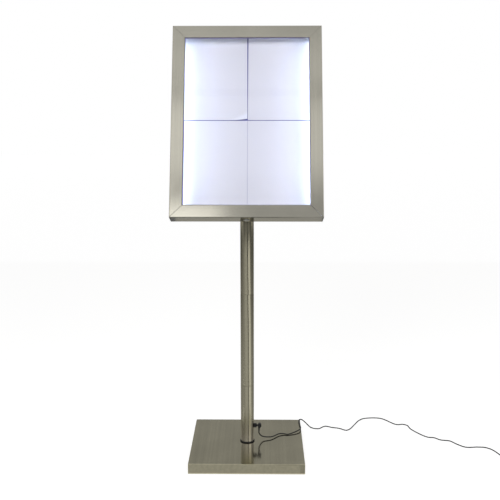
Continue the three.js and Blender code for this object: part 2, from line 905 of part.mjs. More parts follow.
// The cam's arm points to the front, where it is clear of the strike
function lockCam() {
  const outline = [[-camWidth / 2, -camLength + 1], [-camWidth / 2 + 1, -camLength]];
  outline.push([camWidth / 2 - 1, -camLength], [camWidth / 2, -camLength + 1]);
  const arcSteps = 8;
  for (let step = 0; step <= arcSteps; step += 1) {
    const angle = Math.PI * step / arcSteps;
    outline.push([camWidth / 2 * Math.cos(angle), camWidth / 2 * Math.sin(angle)]);
  }
  const arm = plate(outline, camThickness).translate(0, 0, camFoot);
  return cut(arm, rod(corePostRadius + gap, 0, camTop + 1, 20)).translate(0, lockDepth, 0);
}

function lockStrike() {
  const front = innerFrameBack + gap;
  const hookFront = lockDepth + camWidth / 2 + 0.5;
  const outline = [
    [front, 5],
    [front + strikeSheet, 5],
    [front + strikeSheet, strikeArmFoot],
    [hookFront, strikeArmFoot],
    [hookFront, camFoot - 1],
    [hookFront + strikeSheet, camFoot - 1],
    [hookFront + strikeSheet, strikeArmTop],
    [front, strikeArmTop],
  ];
  return sidePlate(outline, camWidth / 2 + 5, camLength);
}

addPiece(caseGroup, 'lock_body', lockBody(), 'chrome');
addPiece(caseGroup, 'lock_nut', lockNut(), 'zinc');
addPiece(caseGroup, 'lock_core', lockCore(), 'chrome');
addPiece(caseGroup, 'lock_cam', lockCam(), 'zinc');
addPiece(doorGroup, 'lock_strike', lockStrike(), 'zinc');

// Feed socket in the pole, plug, and the leads through the pole to the case

const socketInside = poleInside - gap;
const socketFoot = 9;
const nutFoot = poleRadius + gap;
const nutTip = nutFoot + socketNutLength;
const plugFace = nutTip + gap;
const plugBarrelTip = plugFace - plugBarrelLength;
const socketBore = plugBarrelDiameter / 2 + gap;
const plugMiddle = plugFace + plugSide / 2;

// Turned about X at the socket's height
function onSocket(geometry) {
  return geometry.rotateY(Math.PI / 2).translate(0, 0, socketHeight);
}

function feedSocket() {
  return onSocket(turned([
    [0, socketFoot],
    [6.5, socketFoot],
    [6.5, socketInside - 3.5],
    [socketNeckDiameter / 2, socketInside - 3.5],
    [socketNeckDiameter / 2, nutTip - 0.5],
    [socketBore, nutTip - 0.5],
    [socketBore, plugBarrelTip - 1],
    [0, plugBarrelTip - 1],
  ], 20));
}

function socketNut() {
  const inside = socketNeckDiameter / 2 + gap;
  const outside = socketNutDiameter / 2;
  return onSocket(turned([
    [inside, nutFoot],
    [outside, nutFoot],
    [outside, nutTip - 1.5],
    [outside - 1.5, nutTip],
    [inside, nutTip],
  ], 24));
}

function feedPlug() {
  const half = plugHeight / 2;
  const bevel = 2.5;
  const outline = [
    [plugFace, -half + bevel],
    [plugFace + bevel, -half],
    [plugFace + plugSide - bevel, -half],
    [plugFace + plugSide, -half + bevel],
    [plugFace + plugSide, half - bevel],
    [plugFace + plugSide - bevel, half],
    [plugFace + bevel, half],
    [plugFace, half - bevel],
  ];
  const body = plate(outline, plugThickness).translate(0, 0, -plugThickness / 2).rotateX(Math.PI / 2);
  body.translate(0, 0, socketHeight);
  const barrel = onSocket(rod(plugBarrelDiameter / 2, plugBarrelTip, plugFace + 1, 16));
  const relief = turned([
    [0, socketHeight - half - reliefLength],
    [cordRadius + 0.4, socketHeight - half - reliefLength],
    [cordRadius + 1.4, socketHeight - half + 1],
    [0, socketHeight - half + 1],
  ], 16).translate(plugMiddle, 0, 0);
  return join(body, barrel, relief);
}

const reliefFoot = socketHeight - plugHeight / 2 - reliefLength;

addPiece(stand, 'feed_socket', feedSocket(), 'black');
addPiece(stand, 'feed_socket_nut', socketNut(), 'black');
addPiece(stand, 'feed_plug', feedPlug(), 'black');

const capTop = poleTop + gap + poleCapThickness;
const poleLeadLine = smoothLine([
  [socketFoot - gap, 0, socketHeight],
  [socketFoot - 3.5, 0, socketHeight],
  [socketFoot - 8, 0, socketHeight + 5],
  [0, 0, socketHeight + 20],
  [0, 0, socketHeight + 50],
  [0, 0, lowerTubeTop],
  [0, 0, middleTubeTop],
  [0, 0, poleTop - plugDepth - 90],
  [0, leadHoleY * 0.5, poleTop - plugDepth - 45],
  [0, leadHoleY, poleTop - plugDepth - 8],
  [0, leadHoleY, poleTop - plugDepth + 15],
  [0, leadHoleY, capTop - gap],
]);
addPiece(stand, 'pole_lead', tubeAlong(poleLeadLine, cordRadius, 54), 'black');

// A point of the case, with the case leaning at rest
function atCase(x, depth, height) {
  const point = new THREE.Vector3(x, depth, height).add(caseGroup.position);
  point.applyAxisAngle(new THREE.Vector3(1, 0, 0), -tilt);
  return point.add(tiltPivot.position).toArray();
}

const glandTip = caseDepth + glandLength + gap;
const linkLine = smoothLine([
  [0, leadHoleY, capTop],
  [0, leadHoleY, capTop + 9],
  [-3, leadHoleY + 5, capTop + 23],
  [-17, leadHoleY + 11, capTop + 39],
  [glandX + 24, leadHoleY + 10, capTop + 48],
  atCase(glandX, glandTip + 9, glandZ),
  atCase(glandX, glandTip, glandZ),
]);
addPiece(stand, 'link_lead', tubeAlong(linkLine, cordRadius, 32), 'black');

// Free stretch of the feed cord: over the foot, round its rear corner and along the floor

const floorLine = cordRadius + 0.1;
const coilFloorLine = cordRadius + 0.9;
const onFoot = footTop + cordRadius + gap;
const cordEnd = [888, -72, coilFloorLine];
const cordLine = smoothLine([
  [plugMiddle, 0, reliefFoot - gap],
  [plugMiddle, 0.5, reliefFoot - 8],
  [plugMiddle + 12, 11, reliefFoot - 25],
  [84, 18, onFoot + 4],
  [114, 49, onFoot + 2.5],
  [130, 53, onFoot + 1],
  [144, 50, onFoot],
  [187, 82, onFoot + 4],
  [193, 106, onFoot + 2.5],
  [190.5, 142, onFoot],
  [191.5, 183, onFoot + 1.5],
  [199.5, 188, onFoot + 1],
  [216, 183.5, 29],
  [224.4, 184.6, 19.5],
  [240, 195, 4],
  [266, 192, floorLine],
  [280, 207, floorLine],
  [294, 216, floorLine],
  [316, 205, floorLine],
  [343, 196, floorLine],
  [370, 178, floorLine],
  [428, 276, floorLine],
  [450, 295, floorLine],
  [511, 297, floorLine],
  [566, 235, floorLine],
  [590, 238, floorLine],
  [605, 226, floorLine],
  [612, 192, floorLine],
  [660, 118, floorLine],
  [683, 112, floorLine],
  [704, 92, floorLine],
  [734, 84, floorLine],
  [755, 54, floorLine],
  [781, 29, floorLine],
  [822, 31, floorLine],
  [849, 27, floorLine],
  [867, 10, floorLine],
  [886, -44, floorLine],
  [cordEnd[0], cordEnd[1] + 8, coilFloorLine],
  cordEnd,
]);
const freeLength = cordLine.getLength();
addPiece(stand, 'power_cord', tubeAlong(cordLine, cordRadius, 80), 'black');

// Put-away length: a coil of two layers that winds in below and out again on top

const coilInside = 17;
const coilPitch = cordDiameter + 0.6;
const coilLift = cordDiameter + 0.6;
const tailRun = 46;
const supplyEntry = 14;
const putAwayLength = cordLength - freeLength;

class CoilCurve extends THREE.Curve {
  constructor(windLength) {
    super();
    this.arcLengthDivisions = 800;
    this.windShare = windLength / (windLength + tailRun);
    const root = Math.sqrt(coilInside ** 2 + coilPitch * windLength / (2 * Math.PI));
    this.layerTurns = (root - coilInside) / coilPitch;
    this.outside = coilInside + coilPitch * this.layerTurns;
  }

  getPoint(share) {
    const windShare = this.windShare;
    const turn = Math.min(share / windShare, 1) * 2 * this.layerTurns;
    const fromMiddle = turn - this.layerTurns;
    const radius = coilInside + coilPitch * Math.abs(fromMiddle);
    const angle = Math.PI + 2 * Math.PI * turn;
    const climb = THREE.MathUtils.smoothstep(fromMiddle, -0.25, 0.25);
    const point = new THREE.Vector3(
      cordEnd[0] + this.outside + radius * Math.cos(angle),
      cordEnd[1] - gap + radius * Math.sin(angle),
      coilFloorLine + coilLift * climb,
    );
    if (share > windShare) {
      const along = (share - windShare) / (1 - windShare);
      const rise = supplyEntry - coilFloorLine - coilLift;
      point.x -= tailRun * along * Math.sin(angle);
      point.y += tailRun * along * Math.cos(angle);
      point.z += rise * THREE.MathUtils.smoothstep(along, 0.1, 0.85);
    }
    return point;
  }
}

// The spiral's steps make it a little longer than its plain length, and that comes off again
const plainCoil = new CoilCurve(putAwayLength - tailRun);
const coilExcess = plainCoil.getLength() - putAwayLength;
const coilLine = new CoilCurve(putAwayLength - tailRun - coilExcess);
const coilTurns = 2 * coilLine.layerTurns;
const coilOutside = coilLine.outside;
const coilX = cordEnd[0] + coilOutside;
const coilY = cordEnd[1] - gap;
const stepsPerTurn = 24;
const coilSteps = Math.round(coilTurns * stepsPerTurn) + 8;
addPiece(stand, 'cord_coil', tubeAlong(coilLine, cordRadius, coilSteps, 6), 'black');

// Least gap between stretches of the coil that are more than half a turn apart
function leastGapToItself(curve, samples, apart) {
  const points = curve.getSpacedPoints(samples);
  let least = Infinity;
  for (let first = 0; first < points.length; first += 1) {
    for (let second = first + apart; second < points.length; second += 1) {
      least = Math.min(least, points[first].distanceTo(points[second]));
    }
  }
  return least - cordDiameter;
}

const coilSamples = 600;
const halfTurnSamples = Math.round(coilSamples / (2 * coilTurns));
console.log('coil turns', coilTurns.toFixed(2));
console.log('cord length', (freeLength + coilLine.getLength()).toFixed(1));
console.log('coil least gap to itself', leastGapToItself(coilLine, coilSamples, halfTurnSamples).toFixed(2));

// Tie round the coil on its far side
const tieWall = 0.6;
const tieWidth = 8;

function coilTie() {
  const inner = coilInside - cordRadius - 0.8;
  const outer = coilOutside + cordRadius + 0.4;
  const low = tieWall;
  const high = coilFloorLine + coilLift + cordRadius + gap;
  const outline = [[inner - tieWall, 0], [outer + tieWall, 0]];
  outline.push([outer + tieWall, high + tieWall], [inner - tieWall, high + tieWall]);
  const hole = [[inner, low], [outer, low], [outer, high], [inner, high]];
  const band = plate(outline, tieWidth, [hole]).translate(0, 0, -tieWidth / 2).rotateX(Math.PI / 2);
  return band.rotateZ(-Math.PI / 2).translate(coilX, coilY, 0);
}

addPiece(stand, 'coil_tie', coilTie(), 'rubber');

// Plug-in power supply at the cord's end, with its strain relief and two pins, in one moulding

const supplyLength = 62;
const supplyWidth = 40;
const supplyHeight = 28;
const supplyRelief = 14;
const pinSpread = 19;
const pinDiameter = 4;
const pinLength = 18;
const coilEnd = coilLine.getPoint(1);
const coilEndAngle = Math.PI + 2 * Math.PI * coilTurns;

function placeSupply(geometry) {
  return geometry.rotateZ(coilEndAngle).translate(coilEnd.x, coilEnd.y, 0);
}

function powerSupply() {
  const half = supplyWidth / 2;
  const bevel = 4;
  const near = gap + supplyRelief;
  const far = near + supplyLength;
  const outline = [
    [-half + bevel, near],
    [half - bevel, near],
    [half, near + bevel],
    [half, far - bevel],
    [half - bevel, far],
    [-half + bevel, far],
    [-half, far - bevel],
    [-half, near + bevel],
  ];
  const body = plate(outline, supplyHeight);
  const relief = turned([
    [0, gap],
    [cordRadius + 0.4, gap],
    [cordRadius + 2, near + 1],
    [0, near + 1],
  ], 12).rotateX(-Math.PI / 2).translate(0, 0, supplyEntry);
  const pins = [-pinSpread / 2, pinSpread / 2].map(
    (x) => rod(pinDiameter / 2, far - 1, far + pinLength, 12)
      .rotateX(-Math.PI / 2)
      .translate(x, 0, supplyEntry),
  );
  return placeSupply(join(body, relief, ...pins));
}

addPiece(stand, 'power_supply', powerSupply(), 'black');

export default stand;
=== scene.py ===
# %% [markdown]
# # A lit information stand
# A leaning glazed case with four paper sheets stands on a round pole and a square foot.
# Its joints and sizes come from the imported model, and this script gives it its looks.
# Every piece rides on one of the model's bodies: stand, case, door or lock.

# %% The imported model
import math
from contextlib import contextmanager

import bpy
from mathutils import Matrix, Vector


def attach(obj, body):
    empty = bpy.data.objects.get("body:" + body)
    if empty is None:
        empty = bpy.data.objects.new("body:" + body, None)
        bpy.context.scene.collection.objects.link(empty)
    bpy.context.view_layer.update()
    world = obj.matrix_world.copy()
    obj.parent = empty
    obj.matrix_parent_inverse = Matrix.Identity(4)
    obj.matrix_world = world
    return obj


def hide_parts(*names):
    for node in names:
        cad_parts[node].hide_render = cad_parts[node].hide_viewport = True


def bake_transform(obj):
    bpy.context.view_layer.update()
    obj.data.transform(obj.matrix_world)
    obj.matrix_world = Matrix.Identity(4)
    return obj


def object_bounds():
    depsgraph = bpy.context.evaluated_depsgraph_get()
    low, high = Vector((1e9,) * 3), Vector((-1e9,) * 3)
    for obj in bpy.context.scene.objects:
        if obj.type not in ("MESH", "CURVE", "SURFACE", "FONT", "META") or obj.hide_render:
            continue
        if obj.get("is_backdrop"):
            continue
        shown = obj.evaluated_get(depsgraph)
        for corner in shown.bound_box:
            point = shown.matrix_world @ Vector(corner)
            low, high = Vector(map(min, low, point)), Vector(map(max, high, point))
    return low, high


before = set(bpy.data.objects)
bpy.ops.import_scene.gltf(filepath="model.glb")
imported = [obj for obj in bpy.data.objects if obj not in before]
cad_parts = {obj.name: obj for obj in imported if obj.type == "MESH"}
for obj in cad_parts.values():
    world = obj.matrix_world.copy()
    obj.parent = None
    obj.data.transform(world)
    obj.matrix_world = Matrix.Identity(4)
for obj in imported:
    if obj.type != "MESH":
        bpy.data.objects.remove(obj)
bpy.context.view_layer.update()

# %% [markdown]
# The picture was taken from a little above the case, almost straight from the front.
# The camera's place and turn were fitted to the corners of the case, pole and foot.

# %% Camera
camera_place = Vector((0.04784, -2.77810, 1.23925))
camera_yaw = math.radians(-0.7825)
camera_pitch = math.radians(10.526)
camera_roll = math.radians(0.064)
lens_length = 59.98
sensor_width = 36.0

forward = Vector((
    math.sin(camera_yaw) * math.cos(camera_pitch),
    math.cos(camera_yaw) * math.cos(camera_pitch),
    -math.sin(camera_pitch),
))
level_right = Vector((math.cos(camera_yaw), -math.sin(camera_yaw), 0))
level_down = forward.cross(level_right)
right = level_right * math.cos(camera_roll) + level_down * math.sin(camera_roll)
up = -forward.cross(right)
bpy.ops.object.camera_add()
camera = bpy.context.object
camera.matrix_world = Matrix.Translation(camera_place) @ Matrix((right, up, -forward)).transposed().to_4x4()
camera.data.lens = lens_length
camera.data.sensor_width = sensor_width
camera.data.sensor_fit = "HORIZONTAL"
bpy.context.scene.camera = camera
print("camera looks down", round(math.degrees(camera_pitch), 2), "degrees")

# %% [markdown]
# ## The feed lead
# A thin flexible lead of 1.8 m runs from the plug at the pole over the foot and along the floor.
# What the picture doesn't show of it is wound into a neat coil beside the power supply.
# A curve keeps its real length and gets its thickness from a bevel, so it stays easy to change.
# The bevel is 1 m deep in name, and each point's radius scales it down to the lead's 2 mm.

# %% The lead's route, in metres
lead_diameter = 0.004
lead_length = 1.8
lead_radius = lead_diameter / 2
foot_top = 0.037
on_foot = foot_top + lead_radius + 0.0003
on_floor = lead_radius + 0.0001
coil_floor = lead_radius + 0.0009
plug_middle = 0.041
relief_foot = 0.0735
lead_end = (0.888, -0.072, coil_floor)
foot_route = [
    (0.084, 0.018, 0.004), (0.114, 0.049, 0.0025), (0.130, 0.053, 0.001), (0.144, 0.050, 0),
    (0.187, 0.082, 0.004), (0.193, 0.106, 0.0025), (0.1905, 0.142, 0), (0.1915, 0.183, 0.0015),
    (0.1995, 0.188, 0.001),
]
floor_route = [
    (0.266, 0.192), (0.280, 0.207), (0.294, 0.216), (0.316, 0.205), (0.343, 0.196), (0.370, 0.178),
    (0.428, 0.276), (0.450, 0.295), (0.511, 0.297), (0.566, 0.235), (0.590, 0.238), (0.605, 0.226),
    (0.612, 0.192), (0.660, 0.118), (0.683, 0.112), (0.704, 0.092), (0.734, 0.084), (0.755, 0.054),
    (0.781, 0.029), (0.822, 0.031), (0.849, 0.027), (0.867, 0.010), (0.886, -0.044),
]
lead_route = [
    (plug_middle, 0.000, relief_foot - 0.0003),
    (plug_middle, 0.0005, relief_foot - 0.008),
    (plug_middle + 0.012, 0.011, relief_foot - 0.025),
    *((x, y, on_foot + rise) for x, y, rise in foot_route),
    (0.216, 0.1835, 0.029),
    (0.2244, 0.1846, 0.0195),
    (0.240, 0.195, 0.004),
    *((x, y, on_floor) for x, y in floor_route),
    (lead_end[0], lead_end[1] + 0.008, coil_floor),
    lead_end,
]


def smooth_line(points, per_span=8):
    """Points along a smooth curve through the given ones (centripetal Catmull-Rom)."""
    given = [Vector(point) for point in points]
    knots = [2 * given[0] - given[1], *given, 2 * given[-1] - given[-2]]
    line = []
    for before, start, end, after in zip(knots, knots[1:], knots[2:], knots[3:]):
        gaps = [math.sqrt((b - a).length) for a, b in ((before, start), (start, end), (end, after))]
        leave = (start - before) / gaps[0] - (end - before) / (gaps[0] + gaps[1]) + (end - start) / gaps[1]
        arrive = (end - start) / gaps[1] - (after - start) / (gaps[1] + gaps[2]) + (after - end) / gaps[2]
        leave, arrive = leave * gaps[1], arrive * gaps[1]
        for step in range(per_span):
            t = step / per_span
            line.append(
                start
                + leave * t
                + (3 * (end - start) - 2 * leave - arrive) * t**2
                + (2 * (start - end) + leave + arrive) * t**3
            )
    return [*line, given[-1]]


def line_length(line):
    """The length of a line through points."""
    return sum((b - a).length for a, b in zip(line, line[1:]))


free_line = smooth_line(lead_route)
free_length = line_length(free_line)
print("free lead", round(free_length, 4), "m")

# %% [markdown]
# The coil has two layers: the lead winds in below, climbs, and winds out again on top.
# Its radius grows by one lead's width and a little for each turn, so no turn touches the next.

# %% The coil
coil_inside = 0.017
coil_gap = 0.0006
coil_pitch = coil_climb = lead_diameter + coil_gap
climb_reach = 0.25
tail_run = 0.046
tail_rises = (0.1, 0.85)
supply_entry = 0.014


def smooth_step(value, low, high):
    """Rises smoothly from 0 at low to 1 at high."""
    t = min(max((value - low) / (high - low), 0), 1)
    return t * t * (3 - 2 * t)


def coil_line(wound):
    """The coil's points, its turns in one layer and its outer radius, for a wound length."""
    outside = math.sqrt(coil_inside**2 + coil_pitch * wound / (2 * math.pi))
    layer_turns = (outside - coil_inside) / coil_pitch
    middle = Vector((lead_end[0] + outside, lead_end[1] - 0.0003, 0))
    steps = 480
    wound_share = wound / (wound + tail_run)
    line = []
    for step in range(steps + 1):
        share = step / steps
        turn = min(share / wound_share, 1) * 2 * layer_turns
        from_middle = turn - layer_turns
        radius = coil_inside + coil_pitch * abs(from_middle)
        angle = math.pi * (1 + 2 * turn)
        height = coil_floor + coil_climb * smooth_step(from_middle, -climb_reach, climb_reach)
        point = middle + Vector((radius * math.cos(angle), radius * math.sin(angle), height))
        if share > wound_share:
            along = (share - wound_share) / (1 - wound_share)
            point.x -= tail_run * along * math.sin(angle)
            point.y += tail_run * along * math.cos(angle)
            point.z += (supply_entry - coil_floor - coil_climb) * smooth_step(along, *tail_rises)
        line.append(point)
    return line, layer_turns, outside


put_away = lead_length - free_length
plain_line, *_ = coil_line(put_away - tail_run)
excess = line_length(plain_line) - put_away
wound_line, layer_turns, coil_outside = coil_line(put_away - tail_run - excess)
lead_line = free_line + wound_line
print("coil turns", round(2 * layer_turns, 2), "lead length", round(line_length(lead_line), 4))

# %% [markdown]
# The lead doesn't stop where it meets the supply: it runs on inside the supply's rubber sleeve.
# So its line gets a last straight stretch that the sleeve hides.

# %% The hidden end
inside_sleeve = 0.0165
coil_end = wound_line[-1]
coil_end_turn = math.pi + 4 * math.pi * layer_turns
into_supply = Vector((-math.sin(coil_end_turn), math.cos(coil_end_turn), 0))
lead_line = [*lead_line, *(coil_end + into_supply * inside_sleeve * part / 3 for part in (1, 2, 3))]
print("lead with its hidden end", round(line_length(lead_line), 4))

# %% The lead as a curve
def add_object(name, data):
    """A new object in the scene that shows this data."""
    piece = bpy.data.objects.new(name, data)
    bpy.context.scene.collection.objects.link(piece)
    return piece


def thick_curve(name, line):
    """A curve through the line's points, as thick as the lead."""
    curve = bpy.data.curves.new(name, "CURVE")
    curve.dimensions = "3D"
    spline = curve.splines.new("POLY")
    spline.points.add(len(line) - 1)
    for curve_point, place in zip(spline.points, line):
        curve_point.co = (*place, 1)
        curve_point.radius = lead_radius
    curve.bevel_depth = 1.0
    curve.bevel_resolution = 4
    curve.use_fill_caps = True
    return add_object(name, curve)


feed_lead = thick_curve("feed_lead", lead_line)
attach(feed_lead, "stand")
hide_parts("power_cord", "cord_coil")
print("lead through", len(lead_line), "points")

# %% [markdown]
# ## Building finishes from nodes
# A finish is a material: one Principled shader, fed by small nodes that make grain or dirt.
# The first helpers add a node and fill its inputs, each with a value or with another node's output.
# The others stand for nodes that come back in most finishes, and give the one output that matters.

# %% Helpers for nodes
def fill(tree, made, inputs):
    """Sets a node's inputs to values, or joins them to other nodes' sockets."""
    for socket, value in inputs.items():
        if isinstance(value, bpy.types.NodeSocket):
            tree.links.new(value, made.inputs[socket])
        else:
            made.inputs[socket].default_value = value


def node(tree, kind, inputs=None, **settings):
    """A new shader node with its settings and its inputs."""
    made = tree.nodes.new("ShaderNode" + kind)
    for setting, value in settings.items():
        setattr(made, setting, value)
    fill(tree, made, inputs or {})
    return made


def figure(tree, operation, *values):
    """The result of a Math node."""
    return node(tree, "Math", dict(enumerate(values)), operation=operation).outputs[0]


def carried(tree, value, start, end, low, high):
    """A value between start and end, carried over to the range from low to high."""
    limits = {"Value": value, "From Min": start, "From Max": end, "To Min": low, "To Max": high}
    return node(tree, "MapRange", limits).outputs["Result"]


def mixed(tree, share, *colours, blend_type="MIX"):
    """Two colours or colour sockets, mixed by a share."""
    first, second = (one if isinstance(one, bpy.types.NodeSocket) else (*one, 1) for one in colours)
    inputs = {"Factor": share, 6: first, 7: second}
    return node(tree, "Mix", inputs, data_type="RGBA", blend_type=blend_type).outputs[2]


def bumps(tree, height, strength, distance, **more):
    """A surface's normal with small bumps in it, distance metres high."""
    inputs = {"Height": height, "Strength": strength, "Distance": distance, **more}
    return node(tree, "Bump", inputs).outputs["Normal"]


def own_place(tree):
    """Where a point lies on its own piece."""
    return node(tree, "TexCoord").outputs["Object"]


def axis_part(tree, vector, axis):
    """A vector's part along one axis."""
    return node(tree, "SeparateXYZ", {"Vector": vector}).outputs[axis]


# %% [markdown]
# What several finishes share is kept in a node group, so it is built once and tuned in each place.
# A group takes named inputs, and gives back plain values that change over the surface.

# %% Helpers for node groups
def effect(name, takes, gives):
    """An empty node group with named inputs and outputs, and its two end nodes."""
    group = bpy.data.node_groups.new(name, "ShaderNodeTree")
    for socket, (kind, value) in takes.items():
        made = group.interface.new_socket(socket, in_out="INPUT", socket_type="NodeSocket" + kind)
        made.default_value = value
    for socket in gives:
        group.interface.new_socket(socket, in_out="OUTPUT", socket_type="NodeSocketFloat")
    return group, group.nodes.new("NodeGroupInput").outputs, group.nodes.new("NodeGroupOutput")


def use(tree, group, inputs):
    """Places a node group in a material with its own values, and gives its outputs."""
    return node(tree, "Group", inputs, node_tree=group).outputs


# %% [markdown]
# ## Brushed grain
# Brushed steel is covered in fine scratches that all run one way.
# Noise does this when its space is squeezed: high numbers across the grain, low ones along it.
# A second, coarser noise gives the few longer streaks that the eye really picks out.

# %% Brushed grain as a node group
brushed_grain, taken, given = effect(
    "brushed grain",
    {"Vector": ("Vector", (0, 0, 0)), "Density": ("Vector", (1, 1, 1))},
    ["Grain", "Streaks"],
)
squeezed = node(
    brushed_grain, "VectorMath", {0: taken["Vector"], 1: taken["Density"]}, operation="MULTIPLY"
).outputs[0]
fine = node(brushed_grain, "TexNoise", {"Vector": squeezed, "Scale": 1.0, "Detail": 2.0})
coarse = node(brushed_grain, "TexNoise", {"Vector": squeezed, "Scale": 0.13, "Detail": 3.0})
fill(brushed_grain, given, {"Grain": fine.outputs["Fac"], "Streaks": coarse.outputs["Fac"]})
print("made", brushed_grain.name)

# %% [markdown]
# ## Clouds and smudges
# No sheet of metal or plastic is equally bright all over: rolling, wiping and hands leave soft clouds.
# The same group also gives smudges, which are the clouds' peaks only, for finger marks on glossy parts.

# %% Clouds and smudges as a node group
soft_clouds, taken, given = effect(
    "soft clouds",
    {"Vector": ("Vector", (0, 0, 0)), "Scale": ("Float", 10.0)},
    ["Clouds", "Smudges"],
)
clouds = node(
    soft_clouds,
    "TexNoise",
    {"Vector": taken["Vector"], "Scale": taken["Scale"], "Detail": 3.0, "Distortion": 0.6},
).outputs["Fac"]
fill(soft_clouds, given, {"Clouds": clouds, "Smudges": carried(soft_clouds, clouds, 0.55, 0.75, 0, 1)})
print("made", soft_clouds.name)

# %% [markdown]
# ## Moulded texture
# Moulded plastic and rubber come out of a mould that was etched, so they have a fine pebbled skin.
# Small rounded cells are a good likeness of it.

# %% Moulded texture as a node group
moulded_skin, taken, given = effect(
    "moulded skin",
    {"Vector": ("Vector", (0, 0, 0)), "Scale": ("Float", 1500.0)},
    ["Height"],
)
cells = node(
    moulded_skin, "TexVoronoi", {"Vector": taken["Vector"], "Scale": taken["Scale"]}, feature="SMOOTH_F1"
).outputs["Distance"]
fill(moulded_skin, given, {"Height": cells})
print("made", moulded_skin.name)

# %% [markdown]
# ## Steels
# The case, the pole and the foot are brushed stainless steel, warm grey in the picture.
# Each folded part is brushed along its own length, so every part gets its own grain direction.
# The case leans back, so its upright grain leans too: a Mapping node turns the pattern with it.

# %% Steel with grain
case_lean = math.radians(20.5)


def new_finish(name):
    """A new material, its tree of nodes and its shader."""
    material = bpy.data.materials.new(name)
    material.use_nodes = True
    tree = material.node_tree
    return material, tree, tree.nodes["Principled BSDF"]


def steel(name, colour, roughness, density, lean=0.0, scratch=0.000008, uneven=0.05):
    """Brushed metal: density is how many scratches there are in a metre along x, depth and height.

    Scratch is how deep the scratches are in metres, and uneven how far the tint wanders.
    """
    material, tree, shader = new_finish(name)
    place = node(tree, "Mapping", {"Vector": own_place(tree), "Rotation": (lean, 0, 0)}).outputs["Vector"]
    grain = use(tree, brushed_grain, {"Vector": place, "Density": density})
    clouds = use(tree, soft_clouds, {"Vector": place, "Scale": 7.0})["Clouds"]
    darker = [part * (1 - uneven) for part in colour]
    lighter = [part * (1 + uneven) for part in colour]
    share = carried(tree, figure(tree, "ADD", grain["Streaks"], clouds), 0.65, 1.35, 0, 1)
    finish = {
        "Base Color": mixed(tree, share, darker, lighter),
        "Metallic": 1.0,
        "Roughness": carried(tree, clouds, 0.3, 0.7, roughness - 0.03, roughness + 0.04),
        "Normal": bumps(tree, grain["Grain"], 1.0, scratch),
    }
    fill(tree, shader, finish)
    return material


case_colour = (0.335, 0.323, 0.2765)
pole_colour = (0.400, 0.375, 0.278)
foot_colour = (0.440, 0.412, 0.298)
level_steel = steel("satin steel, level grain", case_colour, 0.125, (6, 900, 900), case_lean)
upright_steel = steel("satin steel, upright grain", case_colour, 0.125, (900, 900, 6), case_lean)
pole_steel = steel("satin steel, ground round", pole_colour, 0.18, (14, 14, 1100), 0.0, 0.0000006, 0.04)
foot_steel = steel("foot steel", foot_colour, 0.13, (700, 8, 700), 0.0, 0.000003, 0.10)
dark_steel = steel("dark steel", (0.155, 0.148, 0.125), 0.42, (60, 60, 60), 0.0, 0.00003, 0.15)
zinc_steel = steel("zinc on steel", (0.48, 0.49, 0.50), 0.36, (90, 90, 90), 0.0, 0.00002, 0.12)
bar_aluminium = steel("bar aluminium", (0.58, 0.585, 0.60), 0.38, (900, 900, 8), case_lean)
lock_chrome = steel("lock chrome", (0.62, 0.62, 0.61), 0.09, (200, 200, 200), 0.0, 0.000002, 0.04)
print("steels", level_steel.name, "to", lock_chrome.name)

# %% [markdown]
# The pole is ground round and round, so its gloss is drawn out up and down: that is anisotropy.
# Its lowest part mirrors the foot, which mirrors the pole again, and each mirror tints the light.
# A paler tint painted on its lowest part, fading out above the foot, makes up for it: painted reflected
# light.

# %% The pole's gloss and its painted reflected light at the foot
painted_reflection_tint = (0.70, 0.67, 0.66)
painted_reflection_top = 0.115
tree = pole_steel.node_tree
shader = tree.nodes["Principled BSDF"]
# Painted reflected light: the pole's tint is paler at its foot, and fades out upwards.
painted_reflection_share = carried(tree, axis_part(tree, own_place(tree), "Z"), foot_top, painted_reflection_top, 1, 0)
plain_tint = shader.inputs["Base Color"].links[0].from_socket
fill(tree, shader, {"Base Color": mixed(tree, painted_reflection_share, plain_tint, painted_reflection_tint)})
fill(tree, shader, {"Anisotropic": 1.0, "Anisotropic Rotation": 0.25})
print("gloss of", pole_steel.name)

# %% [markdown]
# ## Plastics, rubber and paint
# These don't reflect like metal, so their look is a colour, a dull gloss and a fine skin.
# One function makes them all, and each gets its own colour, gloss and size of skin.
# The board behind the sheets is indigo, and its colour is painted shade in the gaps between the sheets; the
# thin gasket round the pane is lilac, a painted line of shade round the opening.

# %% Moulded and painted finishes
def moulded(name, colour, roughness, skin_scale=1400.0, skin_depth=0.00003):
    """A plastic, rubber or paint with a pebbled skin, soft clouds and a few smudges."""
    material, tree, shader = new_finish(name)
    place = own_place(tree)
    skin = use(tree, moulded_skin, {"Vector": place, "Scale": skin_scale})
    clouds = use(tree, soft_clouds, {"Vector": place, "Scale": 30.0})
    darker = [part * 0.86 for part in colour]
    lighter = [min(part * 1.12, 1) for part in colour]
    glossier = max(roughness - 0.12, 0.05)
    finish = {
        "Base Color": mixed(tree, clouds["Clouds"], darker, lighter),
        "Roughness": carried(tree, clouds["Smudges"], 0, 1, roughness, glossier),
        "Normal": bumps(tree, skin["Height"], 0.6, skin_depth),
    }
    fill(tree, shader, finish)
    return material


black_plastic = moulded("black plastic", (0.006, 0.006, 0.0065), 0.46)
black_cord = moulded("black lead sheath", (0.004, 0.004, 0.0045), 0.55, 900.0, 0.00002)
black_rubber = moulded("black rubber", (0.007, 0.007, 0.007), 0.72, 1100.0, 0.00006)
# The board is a real part, and its dark indigo paints the shade seen in the gaps between the sheets.
board_paint = moulded("indigo board paint, painted seam shade", (0.05, 0.05, 0.30), 0.62, 2200.0, 0.00003)
# The gasket's lilac paints the fine violet line of shade round the opening.
painted_shade_gasket = moulded("lilac gasket, painted shade line", (0.27, 0.23, 0.52), 0.7, 1800.0, 0.00002)
white_plastic = moulded("white plastic", (0.82, 0.83, 0.83), 0.45)
print("plastics", black_plastic.name, "to", white_plastic.name)
